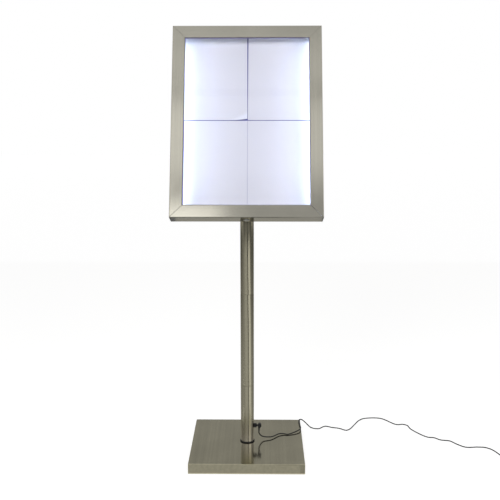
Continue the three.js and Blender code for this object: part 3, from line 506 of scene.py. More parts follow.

# %% [markdown]
# ## Paper
# Four plain sheets are the brightest thing in the picture, lit from both sides by the light bars.
# Paper is nearly white and very dull, and its fibres show only as a faint unevenness.
# Two grey ramps, one from the middle to the sides and one to the ends, are painted light and shade: they
# even out the bars' light, and lighten the ends that the case shades.
# Soft creases are the edges of large bent cells, and show only where the smudges are.

# %% Paper finish
def painted_shade_ramp(tree, share, stops):
    """A grey ramp of painted light and shade over a value from 0 to 1, from (position, brightness) stops.
    """
    made = node(tree, "ValToRGB", {"Fac": share})
    elements = made.color_ramp.elements
    elements[0].color = (*[stops[0][1]] * 3, 1)
    elements[1].color = (*[stops[-1][1]] * 3, 1)
    for position, brightness in stops[1:-1]:
        elements.new(position).color = (*[brightness] * 3, 1)
    return made.outputs["Color"]


opening_width, opening_height = 0.414, 0.572
opening_middle = 1.0806
painted_side_stops = ((0, 0.93), (0.3, 0.965), (0.55, 1.0), (0.69, 0.98), (0.82, 0.90), (1, 0.92))
painted_end_stops = ((0, 0.90), (0.7, 0.92), (0.88, 0.94), (0.93, 0.97), (0.97, 1.05), (1, 1.12))
paper, tree, shader = new_finish("plain paper")
place = own_place(tree)
fibres = node(tree, "TexNoise", {"Vector": place, "Scale": 900.0, "Detail": 3.0}).outputs["Fac"]
patches = use(tree, soft_clouds, {"Vector": place, "Scale": 14.0})
tint = mixed(tree, patches["Clouds"], (0.862, 0.856, 0.965), (0.890, 0.884, 0.985))

# Painted light and shade across the sheets and towards their ends, multiplied into the paper's tint.
sideways = figure(tree, "MULTIPLY", axis_part(tree, place, "X"), 2 / opening_width)
painted_side_shade = painted_shade_ramp(tree, figure(tree, "ABSOLUTE", sideways), painted_side_stops)
face_up = (0, math.sin(case_lean), math.cos(case_lean))
height = node(tree, "VectorMath", {0: place, 1: face_up}, operation="DOT_PRODUCT").outputs["Value"]
from_middle = figure(tree, "SUBTRACT", height, opening_middle)
from_middle = figure(tree, "MULTIPLY", from_middle, 2 / opening_height)
painted_end_light = painted_shade_ramp(tree, figure(tree, "ABSOLUTE", from_middle), painted_end_stops)
shade = mixed(tree, 1.0, painted_side_shade, painted_end_light, blend_type="MULTIPLY")

warp = node(tree, "TexNoise", {"Vector": place, "Scale": 6.0, "Detail": 2.0}).outputs["Color"]
bend = {0: warp, 1: (0.12, 0.12, 0.12), 2: place}
bent = node(tree, "VectorMath", bend, operation="MULTIPLY_ADD").outputs[0]
folds = node(tree, "TexVoronoi", {"Vector": bent, "Scale": 9.0}, feature="DISTANCE_TO_EDGE")
creases = carried(tree, folds.outputs["Distance"], 0, 0.05, 1, 0)
creases = figure(tree, "MULTIPLY", creases, patches["Smudges"])
finish = {
    "Base Color": mixed(tree, 1.0, tint, shade, blend_type="MULTIPLY"),
    "Roughness": 0.85,
    "Specular IOR Level": 0.2,
    "Normal": bumps(tree, creases, 0.6, 0.0006, Normal=bumps(tree, fibres, 0.5, 0.00002)),
}
fill(tree, shader, finish)
print("made", paper.name)

# %% [markdown]
# ## Light bars
# Each bar is an opal strip over a row of small white diodes.
# Only the strip's face towards the middle of the case shines, or light would leak behind the bar.
# A point's place and its normal tell that face apart: there they point opposite ways along x.

# %% Opal finish
bar_strength = 56.0
bars_beyond = 0.15
bar_glow = (0.74, 0.89, 1.0)
opal, tree, shader = new_finish("opal strip, lit")
coordinates = node(tree, "TexCoord").outputs
across = axis_part(tree, coordinates["Object"], "X")
facing = axis_part(tree, coordinates["Normal"], "X")
inward = figure(tree, "LESS_THAN", figure(tree, "MULTIPLY", across, facing), -bars_beyond)
haze = use(tree, soft_clouds, {"Vector": coordinates["Object"], "Scale": 40.0})
finish = {
    "Base Color": mixed(tree, haze["Clouds"], (0.86, 0.88, 0.90), (0.93, 0.95, 0.97)),
    "Roughness": 0.5,
    "Emission Color": mixed(tree, inward, (0, 0, 0), bar_glow),
    "Emission Strength": bar_strength,
}
fill(tree, shader, finish)
print("bars shine at", bar_strength)

# %% [markdown]
# ## Clear pane
# The pane is clear sheet plastic, which mostly shows what is behind it and a little of what is before it.
# Its see-through share follows Fresnel's law: little mirror seen straight on, much more from the side.
# Seen slantwise from inside, its rear faces would mirror wholly, so they are clear to the camera.
# Faint smudges from wiping add a touch more shine in places.

# %% Pane finish
clear_pane, tree, shader = new_finish("clear pane")
smudges = use(tree, soft_clouds, {"Vector": own_place(tree), "Scale": 9.0})["Smudges"]
mirror = node(tree, "Fresnel", {"IOR": 1.26}).outputs["Fac"]
film = figure(tree, "MULTIPLY_ADD", smudges, 0.01, mirror)
rear_face = node(tree, "NewGeometry").outputs["Backfacing"]
looked_at = node(tree, "LightPath").outputs["Is Camera Ray"]
kept = figure(tree, "SUBTRACT", 1.0, figure(tree, "MULTIPLY", looked_at, rear_face))
finish = {
    "Base Color": (0.95, 0.97, 0.98, 1),
    "Metallic": 1.0,
    "Roughness": carried(tree, smudges, 0, 1, 0.02, 0.10),
    "Alpha": figure(tree, "MULTIPLY", film, kept),
}
fill(tree, shader, finish)
print("made", clear_pane.name)

# %% [markdown]
# ## Modelling as by hand
# Blender's operators work on what is selected, so each step starts by selecting its own pieces.
# Edit mode works on a mesh's edges and faces, and has a selection of its own.

# %% Helpers for selecting and adding
def select_only(*pieces):
    """Selects these pieces and nothing else, and makes the first one active."""
    bpy.ops.object.select_all(action="DESELECT")
    for piece in pieces:
        piece.select_set(True)
    bpy.context.view_layer.objects.active = pieces[0]


@contextmanager
def edit_mode(action=None):
    """Edit mode for a few steps. The action can select all of the mesh first, or nothing."""
    bpy.ops.object.mode_set(mode="EDIT")
    if action:
        bpy.ops.mesh.select_all(action=action)
    yield
    bpy.ops.object.mode_set(mode="OBJECT")


def select_parts(parts, kind, wanted):
    """Selects the edges or faces of the active mesh that fit, and counts them."""
    with edit_mode("DESELECT"):
        bpy.ops.mesh.select_mode(type=kind)
    for part in parts:
        part.select = wanted(part)
    return sum(part.select for part in parts)


def add_shape(shape, scale=(1, 1, 1), **settings):
    """Adds one of Blender's own shapes, with nothing else selected."""
    bpy.ops.object.select_all(action="DESELECT")
    getattr(bpy.ops.mesh, f"primitive_{shape}_add")(**settings)
    piece = bpy.context.object
    piece.scale = scale
    return piece


def apply_place(piece):
    """Writes a piece's place, turn and scale into its mesh."""
    select_only(piece)
    bpy.ops.object.transform_apply(location=True, rotation=True, scale=True)
    return piece


def place_mesh(piece, matrix):
    """Moves the mesh itself, so the object stays at the origin."""
    piece.data.transform(matrix)
    piece.data.update()
    return piece


def copies(first, places):
    """Copies of a piece, each with its own mesh and its own place. The first one is used up."""
    made = [place_mesh(add_object("copy", first.data.copy()), place) for place in places]
    bpy.data.objects.remove(first)
    return made


def join(*pieces):
    """Makes the pieces one, which keeps the first one's name."""
    select_only(*pieces)
    bpy.ops.object.join()
    return pieces[0]


# %% [markdown]
# Sheet metal is never sharp: a small Bevel on each edge catches a line of light, and makes it look real.
# Weighted normals then keep the flat faces flat while the bevels shade round.

# %% Helpers for modelling
def shade_round(piece, angle=40):
    """Shades a piece smoothly over every edge that is blunter than the angle."""
    select_only(piece)
    bpy.ops.object.shade_smooth_by_angle(angle=math.radians(angle))
    return piece


def modify(piece, kind, **settings):
    """Adds a modifier with its settings."""
    modifier = piece.modifiers.new(kind.lower(), kind)
    for setting, value in settings.items():
        setattr(modifier, setting, value)


def apply_modifiers(piece):
    """Writes a piece's modifiers into its mesh."""
    select_only(piece)
    for name in [modifier.name for modifier in piece.modifiers]:
        bpy.ops.object.modifier_apply(modifier=name)
    return piece


def soften(piece, ease, segments=3, corner=35):
    """Rounds every edge sharper than the corner angle by ease metres, and shades it smoothly."""
    shade_round(piece, 50)
    limits = {"limit_method": "ANGLE", "angle_limit": math.radians(corner)}
    modify(piece, "BEVEL", width=ease, segments=segments, **limits)
    modify(piece, "WEIGHTED_NORMAL", keep_sharp=True)
    return apply_modifiers(piece)


def cut_with(piece, cutter):
    """Cuts one piece with another, which is used up."""
    modify(piece, "BOOLEAN", operation="DIFFERENCE", solver="EXACT", object=cutter)
    apply_modifiers(piece)
    bpy.data.objects.remove(cutter)
    return piece


def merged_copy(node_name):
    """A new piece with a CAD node's shape, its loose triangles merged into whole faces."""
    piece = add_object(node_name + "_piece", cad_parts[node_name].data.copy())
    select_only(piece)
    bpy.ops.mesh.customdata_custom_splitnormals_clear()
    with edit_mode("SELECT"):
        bpy.ops.mesh.remove_doubles(threshold=0.00002)
        bpy.ops.mesh.dissolve_limited(angle_limit=math.radians(1))
    return piece


def dress(piece, name, body, finish, slot, *nodes):
    """Names a finished piece, gives it its finish, and lets it stand for CAD nodes on their body."""
    piece.name = name
    piece.data.name = name
    piece.data.materials.clear()
    piece.data.materials.append(finish)
    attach(piece, body)
    if nodes:
        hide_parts(*nodes)
    print(name, len(piece.data.polygons), "faces")
    return piece


# %% [markdown]
# ## Turned parts
# Tubes, rings and nuts are made on a lathe, and Spin is Blender's lathe.
# A circle of points is laid out as the part's cross-section and spun once round the upright axis.
# Corners are eased in the section itself, so every turned edge is already smooth.

# %% Helpers for turned parts
def eased(outline, ease, steps):
    """The outline with each corner off the axis replaced by a small curve."""
    points = [Vector(point) for point in outline]
    line = []
    for before, corner, after in zip(points[-1:] + points[:-1], points, points[1:] + points[:1]):
        if corner.x < 1e-6:
            line.append(corner)
            continue
        start = corner + (before - corner).normalized() * min(ease, (before - corner).length * 0.45)
        end = corner + (after - corner).normalized() * min(ease, (after - corner).length * 0.45)
        for step in range(steps + 1):
            t = step / steps
            line.append(start.lerp(corner, t).lerp(corner.lerp(end, t), t))
    return line


def ring(inside, outside, low, top):
    """The cross-section of a ring, or of a rod if the inside is 0."""
    return [(inside, low), (outside, low), (outside, top), (inside, top)]


def turned(outline, ease, steps=64, corner_steps=3):
    """A closed outline of (radius, height) points, eased, and spun once round the upright axis."""
    outline = eased(outline, ease, corner_steps)
    piece = add_shape("circle", vertices=len(outline), radius=0.01)
    for vertex, (radius, height) in zip(piece.data.vertices, outline):
        vertex.co = (radius, 0, height)
    weld = 0.000002
    with edit_mode("SELECT"):
        bpy.ops.mesh.spin(steps=steps, angle=2 * math.pi, center=(0, 0, 0), axis=(0, 0, 1))
        bpy.ops.mesh.select_all(action="SELECT")
        bpy.ops.mesh.remove_doubles(threshold=weld)
        bpy.ops.mesh.dissolve_degenerate(threshold=weld)
        bpy.ops.mesh.select_all(action="SELECT")
        bpy.ops.mesh.delete_loose(use_verts=True, use_edges=True, use_faces=False)
        bpy.ops.mesh.select_all(action="SELECT")
        bpy.ops.mesh.normals_make_consistent(inside=False)
    return shade_round(piece)


# %% [markdown]
# ## The pole
# The pole is three lengths of thin tube, put together on hidden inner couplers.
# From outside only two fine joints show, because each tube's ends are slightly rounded.
# The lowest tube has a hole for the feed socket, cut by a Boolean.

# %% Pole tubes
pole_radius = 0.023
pole_inside = 0.0215
ring_foot = 0.0373
socket_height = 0.094
socket_hole = 0.0043
tube_ends = {
    "lower_tube": (ring_foot, 0.2458),
    "middle_tube": (0.2461, 0.5718),
    "upper_tube": (0.5721, 0.8978),
}
tubes = {}
for tube_name, (low, top) in tube_ends.items():
    tubes[tube_name] = turned(ring(pole_inside, pole_radius, low, top), 0.0006, 96)

drill = add_shape(
    "cylinder",
    vertices=40,
    radius=socket_hole,
    depth=0.02,
    location=(pole_radius, 0, socket_height),
    rotation=(0, math.pi / 2, 0),
)
shade_round(cut_with(tubes["lower_tube"], drill))
for tube_name, tube in tubes.items():
    dress(tube, tube_name, "stand", pole_steel, "satin_steel", "pole_" + tube_name)

# %% [markdown]
# ## The ring at the pole's foot
# A soft black ring hides where the pole meets the foot, and keeps water out of the joint.
# It is a small turned part with well rounded edges.

# %% Foot ring
ring_top, ring_inside, ring_outside = 0.0403, 0.0233, 0.0253
foot_ring = turned(ring(ring_inside, ring_outside, ring_foot, ring_top), 0.0009, 72, 4)
dress(foot_ring, "pole_foot_ring", "stand", black_rubber, "black_rubber", "foot_ring")

# %% [markdown]
# ## The foot
# The foot is a cover of 2 mm steel, folded down on four sides, over a hidden weight.
# Its fold is rounded by the bending, a little more than the sheet is thick.
# The CAD shape is right apart from that fold, so a merged copy of it gets its outer edges bevelled.

# %% Foot cover
foot_half = 0.195
fold_rounding = 0.0024
least_fold = 0.02
near = 0.0001


def on_outer_fold(edge):
    """Whether an edge of the cover runs round its top or down one of its corners."""
    a, b = (foot_cover.data.vertices[end].co for end in edge.vertices)
    outside = all(max(abs(end.x), abs(end.y)) > foot_half - near for end in (a, b))
    top = min(a.z, b.z) > foot_top - near
    upright = abs(a.z - b.z) > least_fold and (a - b).to_2d().length < near
    corner = min(abs(a.x), abs(a.y)) > foot_half - near
    return outside and (top or (upright and corner))


foot_cover = merged_copy("base_cover")
folds = select_parts(foot_cover.data.edges, "EDGE", on_outer_fold)
with edit_mode():
    bpy.ops.mesh.bevel(offset=fold_rounding, segments=5, affect="EDGES")
print("bevelled", folds, "outer folds of the foot")
soften(foot_cover, 0.0003, 2)
dress(foot_cover, "foot_cover", "stand", foot_steel, "foot_steel", "base_cover")

# %% [markdown]
# Four rubber feet lift the foot 2 mm off the floor.
# One is turned with a rounded rim, and copied to each corner with a mesh of its own.

# %% Rubber feet
pad_reach, pad_radius, pad_height = 0.161, 0.018, 0.002
pad_places = {
    "front_left": (-pad_reach, -pad_reach, 0),
    "front_right": (pad_reach, -pad_reach, 0),
    "rear_left": (-pad_reach, pad_reach, 0),
    "rear_right": (pad_reach, pad_reach, 0),
}
first_pad = turned(ring(0, pad_radius, 0, pad_height), 0.0007, 40)
pads = copies(first_pad, map(Matrix.Translation, pad_places.values()))
for label, pad in zip(pad_places, pads):
    dress(pad, "rubber_foot_" + label, "stand", black_rubber, "black_rubber", "base_pad_" + label)

# %% [markdown]
# ## Feed socket, nut, plug and strain relief
# The low-voltage lead plugs into a small socket in the pole's right side.
# Its nut is knurled so fingers can grip it: a cylinder with every second pair of edges pushed in.
# Two insets in its outer face, the inner one pushed back, leave a raised rim.

# %% Socket nut
nut_foot = 0.0233
nut_length = 0.0094
nut_ridges = 36
ridge_radius, valley_radius, nut_hole = 0.0075, 0.00685, 0.0042
rim_width, rim_slope, rim_height = 0.0012, 0.0006, 0.0008
round_bar = {"vertices": 2 * nut_ridges, "radius": ridge_radius, "depth": nut_length}
socket_nut = apply_place(add_shape("cylinder", location=(0, 0, nut_length / 2), **round_bar))
for vertex in socket_nut.data.vertices:
    valley = vertex.index // 2 % 2 == 1
    vertex.co.xy = vertex.co.xy.normalized() * (valley_radius if valley else ridge_radius)
select_parts(socket_nut.data.polygons, "FACE", lambda face: face.normal.z > 0.9)
with edit_mode():
    bpy.ops.mesh.inset(thickness=rim_width, depth=0.0)
    bpy.ops.mesh.inset(thickness=rim_slope, depth=0.0)
    bpy.ops.transform.translate(value=(0, 0, -rim_height))
cut_with(socket_nut, add_shape("cylinder", vertices=40, radius=nut_hole, depth=0.03))
soften(socket_nut, 0.0002, 2)
to_socket = Matrix.Translation((0, 0, socket_height)) @ Matrix.Rotation(math.pi / 2, 4, "Y")
place_mesh(socket_nut, to_socket @ Matrix.Translation((0, 0, nut_foot)))
dress(socket_nut, "socket_knurled_nut", "stand", black_plastic, "black_plastic", "feed_socket_nut")

# %% [markdown]
# The plug is an eight-sided moulded block with a fine step round its two flat sides.
# Its turned barrel has a waist, and goes into the nut.

# %% Plug body and barrel
plug_body_middle = 0.0430
plug_size = Vector((0.0122, 0.012, 0.015))
side_rim, side_step = 0.0022, 0.0004
plug_body = apply_place(add_shape("cylinder", vertices=8, radius=0.5 / math.cos(math.pi / 8), depth=1))
place_mesh(
    plug_body,
    Matrix.Translation((plug_body_middle, 0, socket_height))
    @ Matrix.Diagonal((*plug_size, 1))
    @ Matrix.Rotation(math.pi / 2, 4, "X")
    @ Matrix.Rotation(math.pi / 8, 4, "Z"),
)
select_parts(plug_body.data.polygons, "FACE", lambda face: abs(face.normal.y) > 0.9)
with edit_mode():
    bpy.ops.mesh.inset(thickness=side_rim, depth=0.0, use_individual=True)
    bpy.ops.mesh.inset(thickness=side_step, depth=-side_step, use_individual=True)
soften(plug_body, 0.0007, 4, 30)
barrel_section = [
    (0, 0.0240), (0.00275, 0.0240), (0.00275, 0.0332), (0.0039, 0.0334), (0.0030, 0.0362),
    (0.0040, 0.0400), (0, 0.0400),
]
barrel = place_mesh(turned(barrel_section, 0.0003, 32), to_socket)
dress(join(plug_body, barrel), "lead_plug", "stand", black_plastic, "black_plastic", "feed_plug")

# %% [markdown]
# A ribbed sleeve below the plug lets the lead bend gently.
# Each rib is the same short outline, a little wider than the one below it.

# %% Ribbed strain relief
relief_ribs = 5
relief_top = 0.0875
relief_thin, relief_grows = 0.0024, 0.001
rib_step = (relief_top - relief_foot) / relief_ribs
rib_outline = ((0.0002, 0.3), (0.0002, 0.62), (-0.0006, 0.7), (-0.0006, 0.95))
relief_section = [(0, relief_foot)]
for rib in range(relief_ribs):
    radius = relief_thin + relief_grows * rib / relief_ribs
    rib_foot = relief_foot + rib * rib_step
    relief_section.append((radius, rib_foot + 0.0002))
    relief_section += [(radius + wider, rib_foot + rib_step * share) for wider, share in rib_outline]
relief_section += [(0.0034, relief_top), (0, relief_top)]
lead_relief = turned(relief_section, 0.0003, 32, 2)
place_mesh(lead_relief, Matrix.Translation((plug_middle, 0, 0)))
dress(lead_relief, "plug_strain_relief", "stand", black_rubber, "black_rubber", "feed_plug")

# %% [markdown]
# ## The coil's tie and the power supply
# The coil is held by one soft tie, a flat band with rounded edges.
# The supply is a black moulded block with two metal pins, and a fine seam where its halves meet.
# It is modelled lying along y, and then turned to where the lead ends.

# %% Tie
lead_tie = soften(merged_copy("coil_tie"), 0.00025, 2)
dress(lead_tie, "coil_band", "stand", black_rubber, "black_rubber", "coil_tie")

# %% Supply body
supply_length, supply_width, supply_height = 0.062, 0.040, 0.028
supply_near = 0.0143
seam_half = seam_depth = 0.0004
to_supply = Matrix.Translation((coil_end.x, coil_end.y, 0)) @ Matrix.Rotation(coil_end_turn, 4, "Z")
supply = apply_place(add_shape(
    "cube",
    scale=(supply_width, supply_length, supply_height),
    size=1,
    location=(0, supply_near + supply_length / 2, supply_height / 2),
))
with edit_mode():
    for seam_edge in (-seam_half, seam_half):
        bpy.ops.mesh.select_all(action="SELECT")
        bpy.ops.mesh.bisect(plane_co=(0, 0, supply_height / 2 + seam_edge), plane_no=(0, 0, 1))


def in_seam(face):
    """Whether a face of the supply lies in the narrow band between its halves."""
    return abs(face.center.z - supply_height / 2) < seam_half and abs(face.normal.z) < 0.5


soften(supply, 0.0036, 5, 60)
select_parts(supply.data.polygons, "FACE", in_seam)
with edit_mode():
    bpy.ops.mesh.extrude_region_shrink_fatten(TRANSFORM_OT_shrink_fatten={"value": -seam_depth})
place_mesh(supply, to_supply)

# %% Supply relief and pins
sleeve_section = [
    (0, 0.0003), (0.0024, 0.0003), (0.0030, 0.006), (0.0025, 0.0068), (0.0034, 0.0078),
    (0.0040, 0.0153), (0, 0.0153),
]
lay_along = Matrix.Translation((0, 0, supply_entry)) @ Matrix.Rotation(-math.pi / 2, 4, "X")
sleeve = place_mesh(turned(sleeve_section, 0.0004, 32), to_supply @ lay_along)
dress(join(supply, sleeve), "supply_block", "stand", black_plastic, "black_plastic", "power_supply")

pin_foot, pin_radius, pin_aside = supply_near + supply_length - 0.001, 0.002, 0.0095
pin_tip = pin_foot + 0.019
first_pin = turned(ring(0, pin_radius, pin_foot, pin_tip), 0.0008, 32)
sides = (-pin_aside, pin_aside)
pins = copies(first_pin, [to_supply @ Matrix.Translation((side, 0, 0)) @ lay_along for side in sides])
dress(join(*pins), "supply_pins", "stand", lock_chrome, "zinc_steel", "power_supply")

# %% [markdown]
# Now the lead gets its finish, and its length and the coil's outer radius are printed.

# %% The lead's facts
feed_lead.data.materials.append(black_cord)
print("lead", lead_length, "m, coil outside radius", round(coil_outside, 4))

# %% [markdown]
# ## Into the leaning case
# Everything in the case is easiest to think of in the case's own directions.
# There x runs across, depth runs into the case from its face, and height runs up its face.
# One matrix carries such a place to the leaning case, about the pivot behind it.

# %% The case's place
pivot_height = 0.9241
pivot_behind, pivot_up = 0.038, 0.113
case_depth = 0.064
in_case = (
    Matrix.Translation((0, 0, pivot_height))
    @ Matrix.Rotation(-case_lean, 4, "X")
    @ Matrix.Translation((0, -(case_depth + pivot_behind), -pivot_up))
)

# %% [markdown]
# ## The link lead
# A short lead comes out of the pole's top and goes through a gland into the case.
# When the case is tilted the real lead has to bend. Here it is a curve with thickness, made a mesh in its
# resting place.

# %% Link lead
cap_top = 0.9021
lead_hole = 0.0175
gland_across, gland_height, gland_tip = -0.070, 0.133, 0.0803
link_end = in_case @ Vector((gland_across, gland_tip - 0.003, gland_height))
link_route = [
    (0, lead_hole, cap_top - 0.003),
    (0, lead_hole, cap_top + 0.009),
    (-0.003, lead_hole + 0.005, cap_top + 0.023),
    (-0.017, lead_hole + 0.011, cap_top + 0.039),
    (gland_across + 0.024, lead_hole + 0.010, cap_top + 0.048),
    tuple(in_case @ Vector((gland_across, gland_tip + 0.009, gland_height))),
    tuple(link_end),
]
link = thick_curve("case_link_lead", smooth_line(link_route, 10))
select_only(link)
bpy.ops.object.convert(target="MESH")
link = bpy.context.object
link.data.materials.clear()
link.data.materials.append(black_cord)
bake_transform(link)
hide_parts("link_lead")
print("link lead", len(link.data.polygons), "faces")

# %% [markdown]
# ## Sheet metal and small hardware
# These parts have the right shape in the CAD, but with razor-sharp edges.
# Each gets a merged copy with its edges eased by a few tenths of a millimetre.
# The table lists each part's body, finish, slot and ease, so one loop does them all.

# %% Eased copies of rigid parts
eased_parts = [
    ("pole_tongue", "stand", dark_steel, "dark_steel", 0.0006),
    ("feed_socket", "stand", black_plastic, "black_plastic", 0.0003),
    ("tilt_bracket", "case", dark_steel, "dark_steel", 0.0006),
    ("pivot_bolt", "case", zinc_steel, "zinc_steel", 0.0005),
    ("pivot_nut", "case", zinc_steel, "zinc_steel", 0.0005),
    ("back_box", "case", upright_steel, "satin_steel", 0.0007),
    ("back_board", "case", board_paint, "board_paint", 0.0003),
    ("led_channel_left", "case", bar_aluminium, "bar_aluminium", 0.0002),
    ("led_channel_right", "case", bar_aluminium, "bar_aluminium", 0.0002),
    ("led_cover_left", "case", opal, "opal_plastic", 0.0003),
    ("led_cover_right", "case", opal, "opal_plastic", 0.0003),
    ("terminal_block", "case", white_plastic, "white_plastic", 0.0008),
    ("hinge_leaf_case", "case", zinc_steel, "zinc_steel", 0.0002),
    ("lock_body", "case", lock_chrome, "chrome_lock", 0.0004),
    ("lock_nut", "case", zinc_steel, "zinc_steel", 0.0004),
    ("lock_core", "lock", lock_chrome, "chrome_lock", 0.0003),
    ("lock_cam", "lock", zinc_steel, "zinc_steel", 0.0004),
    ("door_inner_frame", "door", zinc_steel, "zinc_steel", 0.0003),
    ("pane_retainer", "door", zinc_steel, "zinc_steel", 0.0002),
    ("window_pane", "door", clear_pane, "clear_pane", 0.0004),
    ("hinge_leaf_door", "door", zinc_steel, "zinc_steel", 0.0002),
    ("lock_strike", "door", zinc_steel, "zinc_steel", 0.0003),
]
for part, body, finish, slot, ease in eased_parts:
    dress(soften(merged_copy(part), ease, 2), part + "_eased", body, finish, slot, part)

# %% [markdown]
# ## Door frame
# Four folded profiles meet at 45 degrees, and the mitres stay visible as fine lines.
# At the lower right the joint stands open a little, so the bottom profile is cut back there.
# The level profiles are brushed across and the upright ones up and down.

# %% Door frame
half_width = 0.249
frame_face = 0.042
open_mitre = 0.0011
grains = {"top": level_steel, "bottom": level_steel, "left": upright_steel, "right": upright_steel}
for side, grain in grains.items():
    profile = merged_copy("door_frame_" + side)
    if side == "bottom":
        corner = in_case @ Vector((half_width - open_mitre, 0, 0))
        away = (in_case.to_3x3() @ Vector((1, 0, 1))).normalized()
        with edit_mode("SELECT"):
            bpy.ops.mesh.bisect(plane_co=corner, plane_no=away, clear_outer=True, use_fill=True)
    soften(profile, 0.0005, 3, 40)
    dress(profile, f"door_{side}_profile", "door", grain, "satin_steel", "door_frame_" + side)

# %% [markdown]
# ## Gasket
# The pane rests against the lips on a thin lilac gasket, whose colour paints the fine line of violet shade
# round the opening.
# It is one face, inset into a ring and given its thickness by Solidify.

# %% Gasket round the pane
gasket_shows, gasket_hides = 0.0016, 0.003
gasket_depth, gasket_thickness = 0.00602, 0.00025
gasket = apply_place(add_shape(
    "plane",
    scale=(opening_width + 2 * gasket_hides, opening_height + 2 * gasket_hides, 1),
    size=1,
    location=(0, gasket_depth, frame_face + opening_height / 2),
    rotation=(math.pi / 2, 0, 0),
))
with edit_mode("SELECT"):
    bpy.ops.mesh.inset(thickness=gasket_shows + gasket_hides)
    bpy.ops.mesh.delete(type="FACE")
modify(gasket, "SOLIDIFY", thickness=gasket_thickness, offset=-1)
place_mesh(apply_modifiers(gasket), in_case)
dress(gasket, "pane_gasket", "door", painted_shade_gasket, "board_paint")

# %% [markdown]
# ## The four sheets
# Paper never lies quite flat: it waves gently, and a corner may curl.
# A fine grid is bent by a few long waves, and then given paper's thickness by Solidify.
# The upper two sheets lean a little away from each other, so the gap between them opens upwards.

# %% Sheets of paper
sheet_width, sheet_height = 0.210, 0.297
paper_thickness = 0.0002
upper_gap, lower_gap, level_gap = 0.0015, 0.0006, 0.0024
sheet_middle = 0.002
sheet_foot = 0.0423
sheet_depth = 0.0466
curl_reach, curl_slant, curl_lift = 0.060, 1.6, 0.012
mean_lift, long_lift, short_lift, droop_lift = 0.00045, 0.00016, 0.00009, 0.0001


def curl(across, up):
    """How far the loose corner at the lower inner edge lifts off the board."""
    from_corner = (sheet_width - across) + up * curl_slant
    return curl_lift * max(0, 1 - from_corner / curl_reach) ** 2


def wave(across, up, phase):
    """A few long shallow waves, never below the board."""
    long_wave = math.sin(17 * across + 9 * up + phase)
    short_wave = math.sin(61 * across - 38 * up + 2.1 * phase)
    droop = math.sin(27 * up + 1.7 * phase) * math.sin(14 * across + phase)
    return mean_lift + long_lift * long_wave + short_lift * short_wave + droop_lift * droop


def paper_sheet(name, node_name, side, row, lean, phase, curled=False):
    """One sheet on the left (-1) or right (1), in the lower (0) or upper (1) row."""
    piece = add_shape("grid", x_subdivisions=48, y_subdivisions=68, size=1)
    gap = upper_gap if row else lower_gap
    left = sheet_middle + (gap / 2 if side > 0 else -gap / 2 - sheet_width)
    foot = sheet_foot + row * (sheet_height + level_gap)
    for vertex in piece.data.vertices:
        across = (vertex.co.x + 0.5) * sheet_width
        up = (vertex.co.y + 0.5) * sheet_height
        lift = wave(across, up, phase) + (curl(across, up) if curled else 0)
        vertex.co = (left + across - lean * up, sheet_depth - lift, foot + up)
    modify(piece, "SOLIDIFY", thickness=paper_thickness, offset=-1)
    place_mesh(shade_round(apply_modifiers(piece)), in_case)
    return dress(piece, name, "case", paper, "paper", node_name)


paper_sheet("lower_left_paper", "sheet_bottom_left", -1, 0, 0.0, 0.4)
paper_sheet("lower_right_paper", "sheet_bottom_right", 1, 0, 0.0, 2.9)
paper_sheet("upper_left_paper", "sheet_top_left", -1, 1, math.radians(0.30), 1.7, curled=True)
paper_sheet("upper_right_paper", "sheet_top_right", 1, 1, math.radians(-0.22), 4.2)

# %% [markdown]
# ## Cable gland
# The gland grips the link lead where it enters the back of the case.
# It has a six-sided foot for a spanner and a domed cap.

# %% Gland
nut_radius, nut_height, nut_gap = 0.0098, 0.0058, 0.0003
hexagon = {"vertices": 6, "radius": nut_radius, "depth": nut_height}
gland_foot = apply_place(add_shape("cylinder", location=(0, 0, nut_gap + nut_height / 2), **hexagon))
soften(gland_foot, 0.0006, 3)
gland_section = [
    (0.0023, -0.0045), (0.006, -0.0045), (0.006, 0.0065), (0.0081, 0.0065), (0.0081, 0.0115),
    (0.0058, 0.016), (0.0023, 0.016),
]
gland = join(gland_foot, turned(gland_section, 0.0008, 48, 4))
turn_back = Matrix.Rotation(-math.pi / 2, 4, "X")
place_mesh(gland, in_case @ Matrix.Translation((gland_across, case_depth, gland_height)) @ turn_back)
dress(gland, "case_cable_gland", "case", black_plastic, "black_plastic", "cable_gland")

# %% [markdown]
# ## Screws of the bracket
# Four low button-head screws hold the tilt bracket to the case.
# One head is turned, its socket is cut as a hexagon, and it is copied to the four corners.

# %% Bracket screws
screw_section = [(0, 0), (0.0048, 0), (0.0047, 0.0012), (0.0032, 0.0024), (0, 0.0026)]
key_radius, key_depth, key_middle = 0.0019, 0.003, 0.0029
screw_aside, screw_low, screw_high, bracket_back = 0.034, 0.077, 0.149, 0.0673
screw_places = {
    "low_left": (-screw_aside, bracket_back, screw_low),
    "low_right": (screw_aside, bracket_back, screw_low),
    "high_left": (-screw_aside, bracket_back, screw_high),
    "high_right": (screw_aside, bracket_back, screw_high),
}
first_screw = turned(screw_section, 0.0005, 40)
key = add_shape("cylinder", vertices=6, radius=key_radius, depth=key_depth, location=(0, 0, key_middle))
shade_round(cut_with(first_screw, key))
seats = [in_case @ Matrix.Translation(place) @ turn_back for place in screw_places.values()]
for label, screw in zip(screw_places, copies(first_screw, seats)):
    dress(screw, "bracket_screw_" + label, "case", zinc_steel, "zinc_steel")

# %% [markdown]
# ## Hidden parts
# Some parts are inside the foot, the pole and the case, and are seen only when it is taken apart.
# Their CAD shapes stay as they are, and only get their finishes.

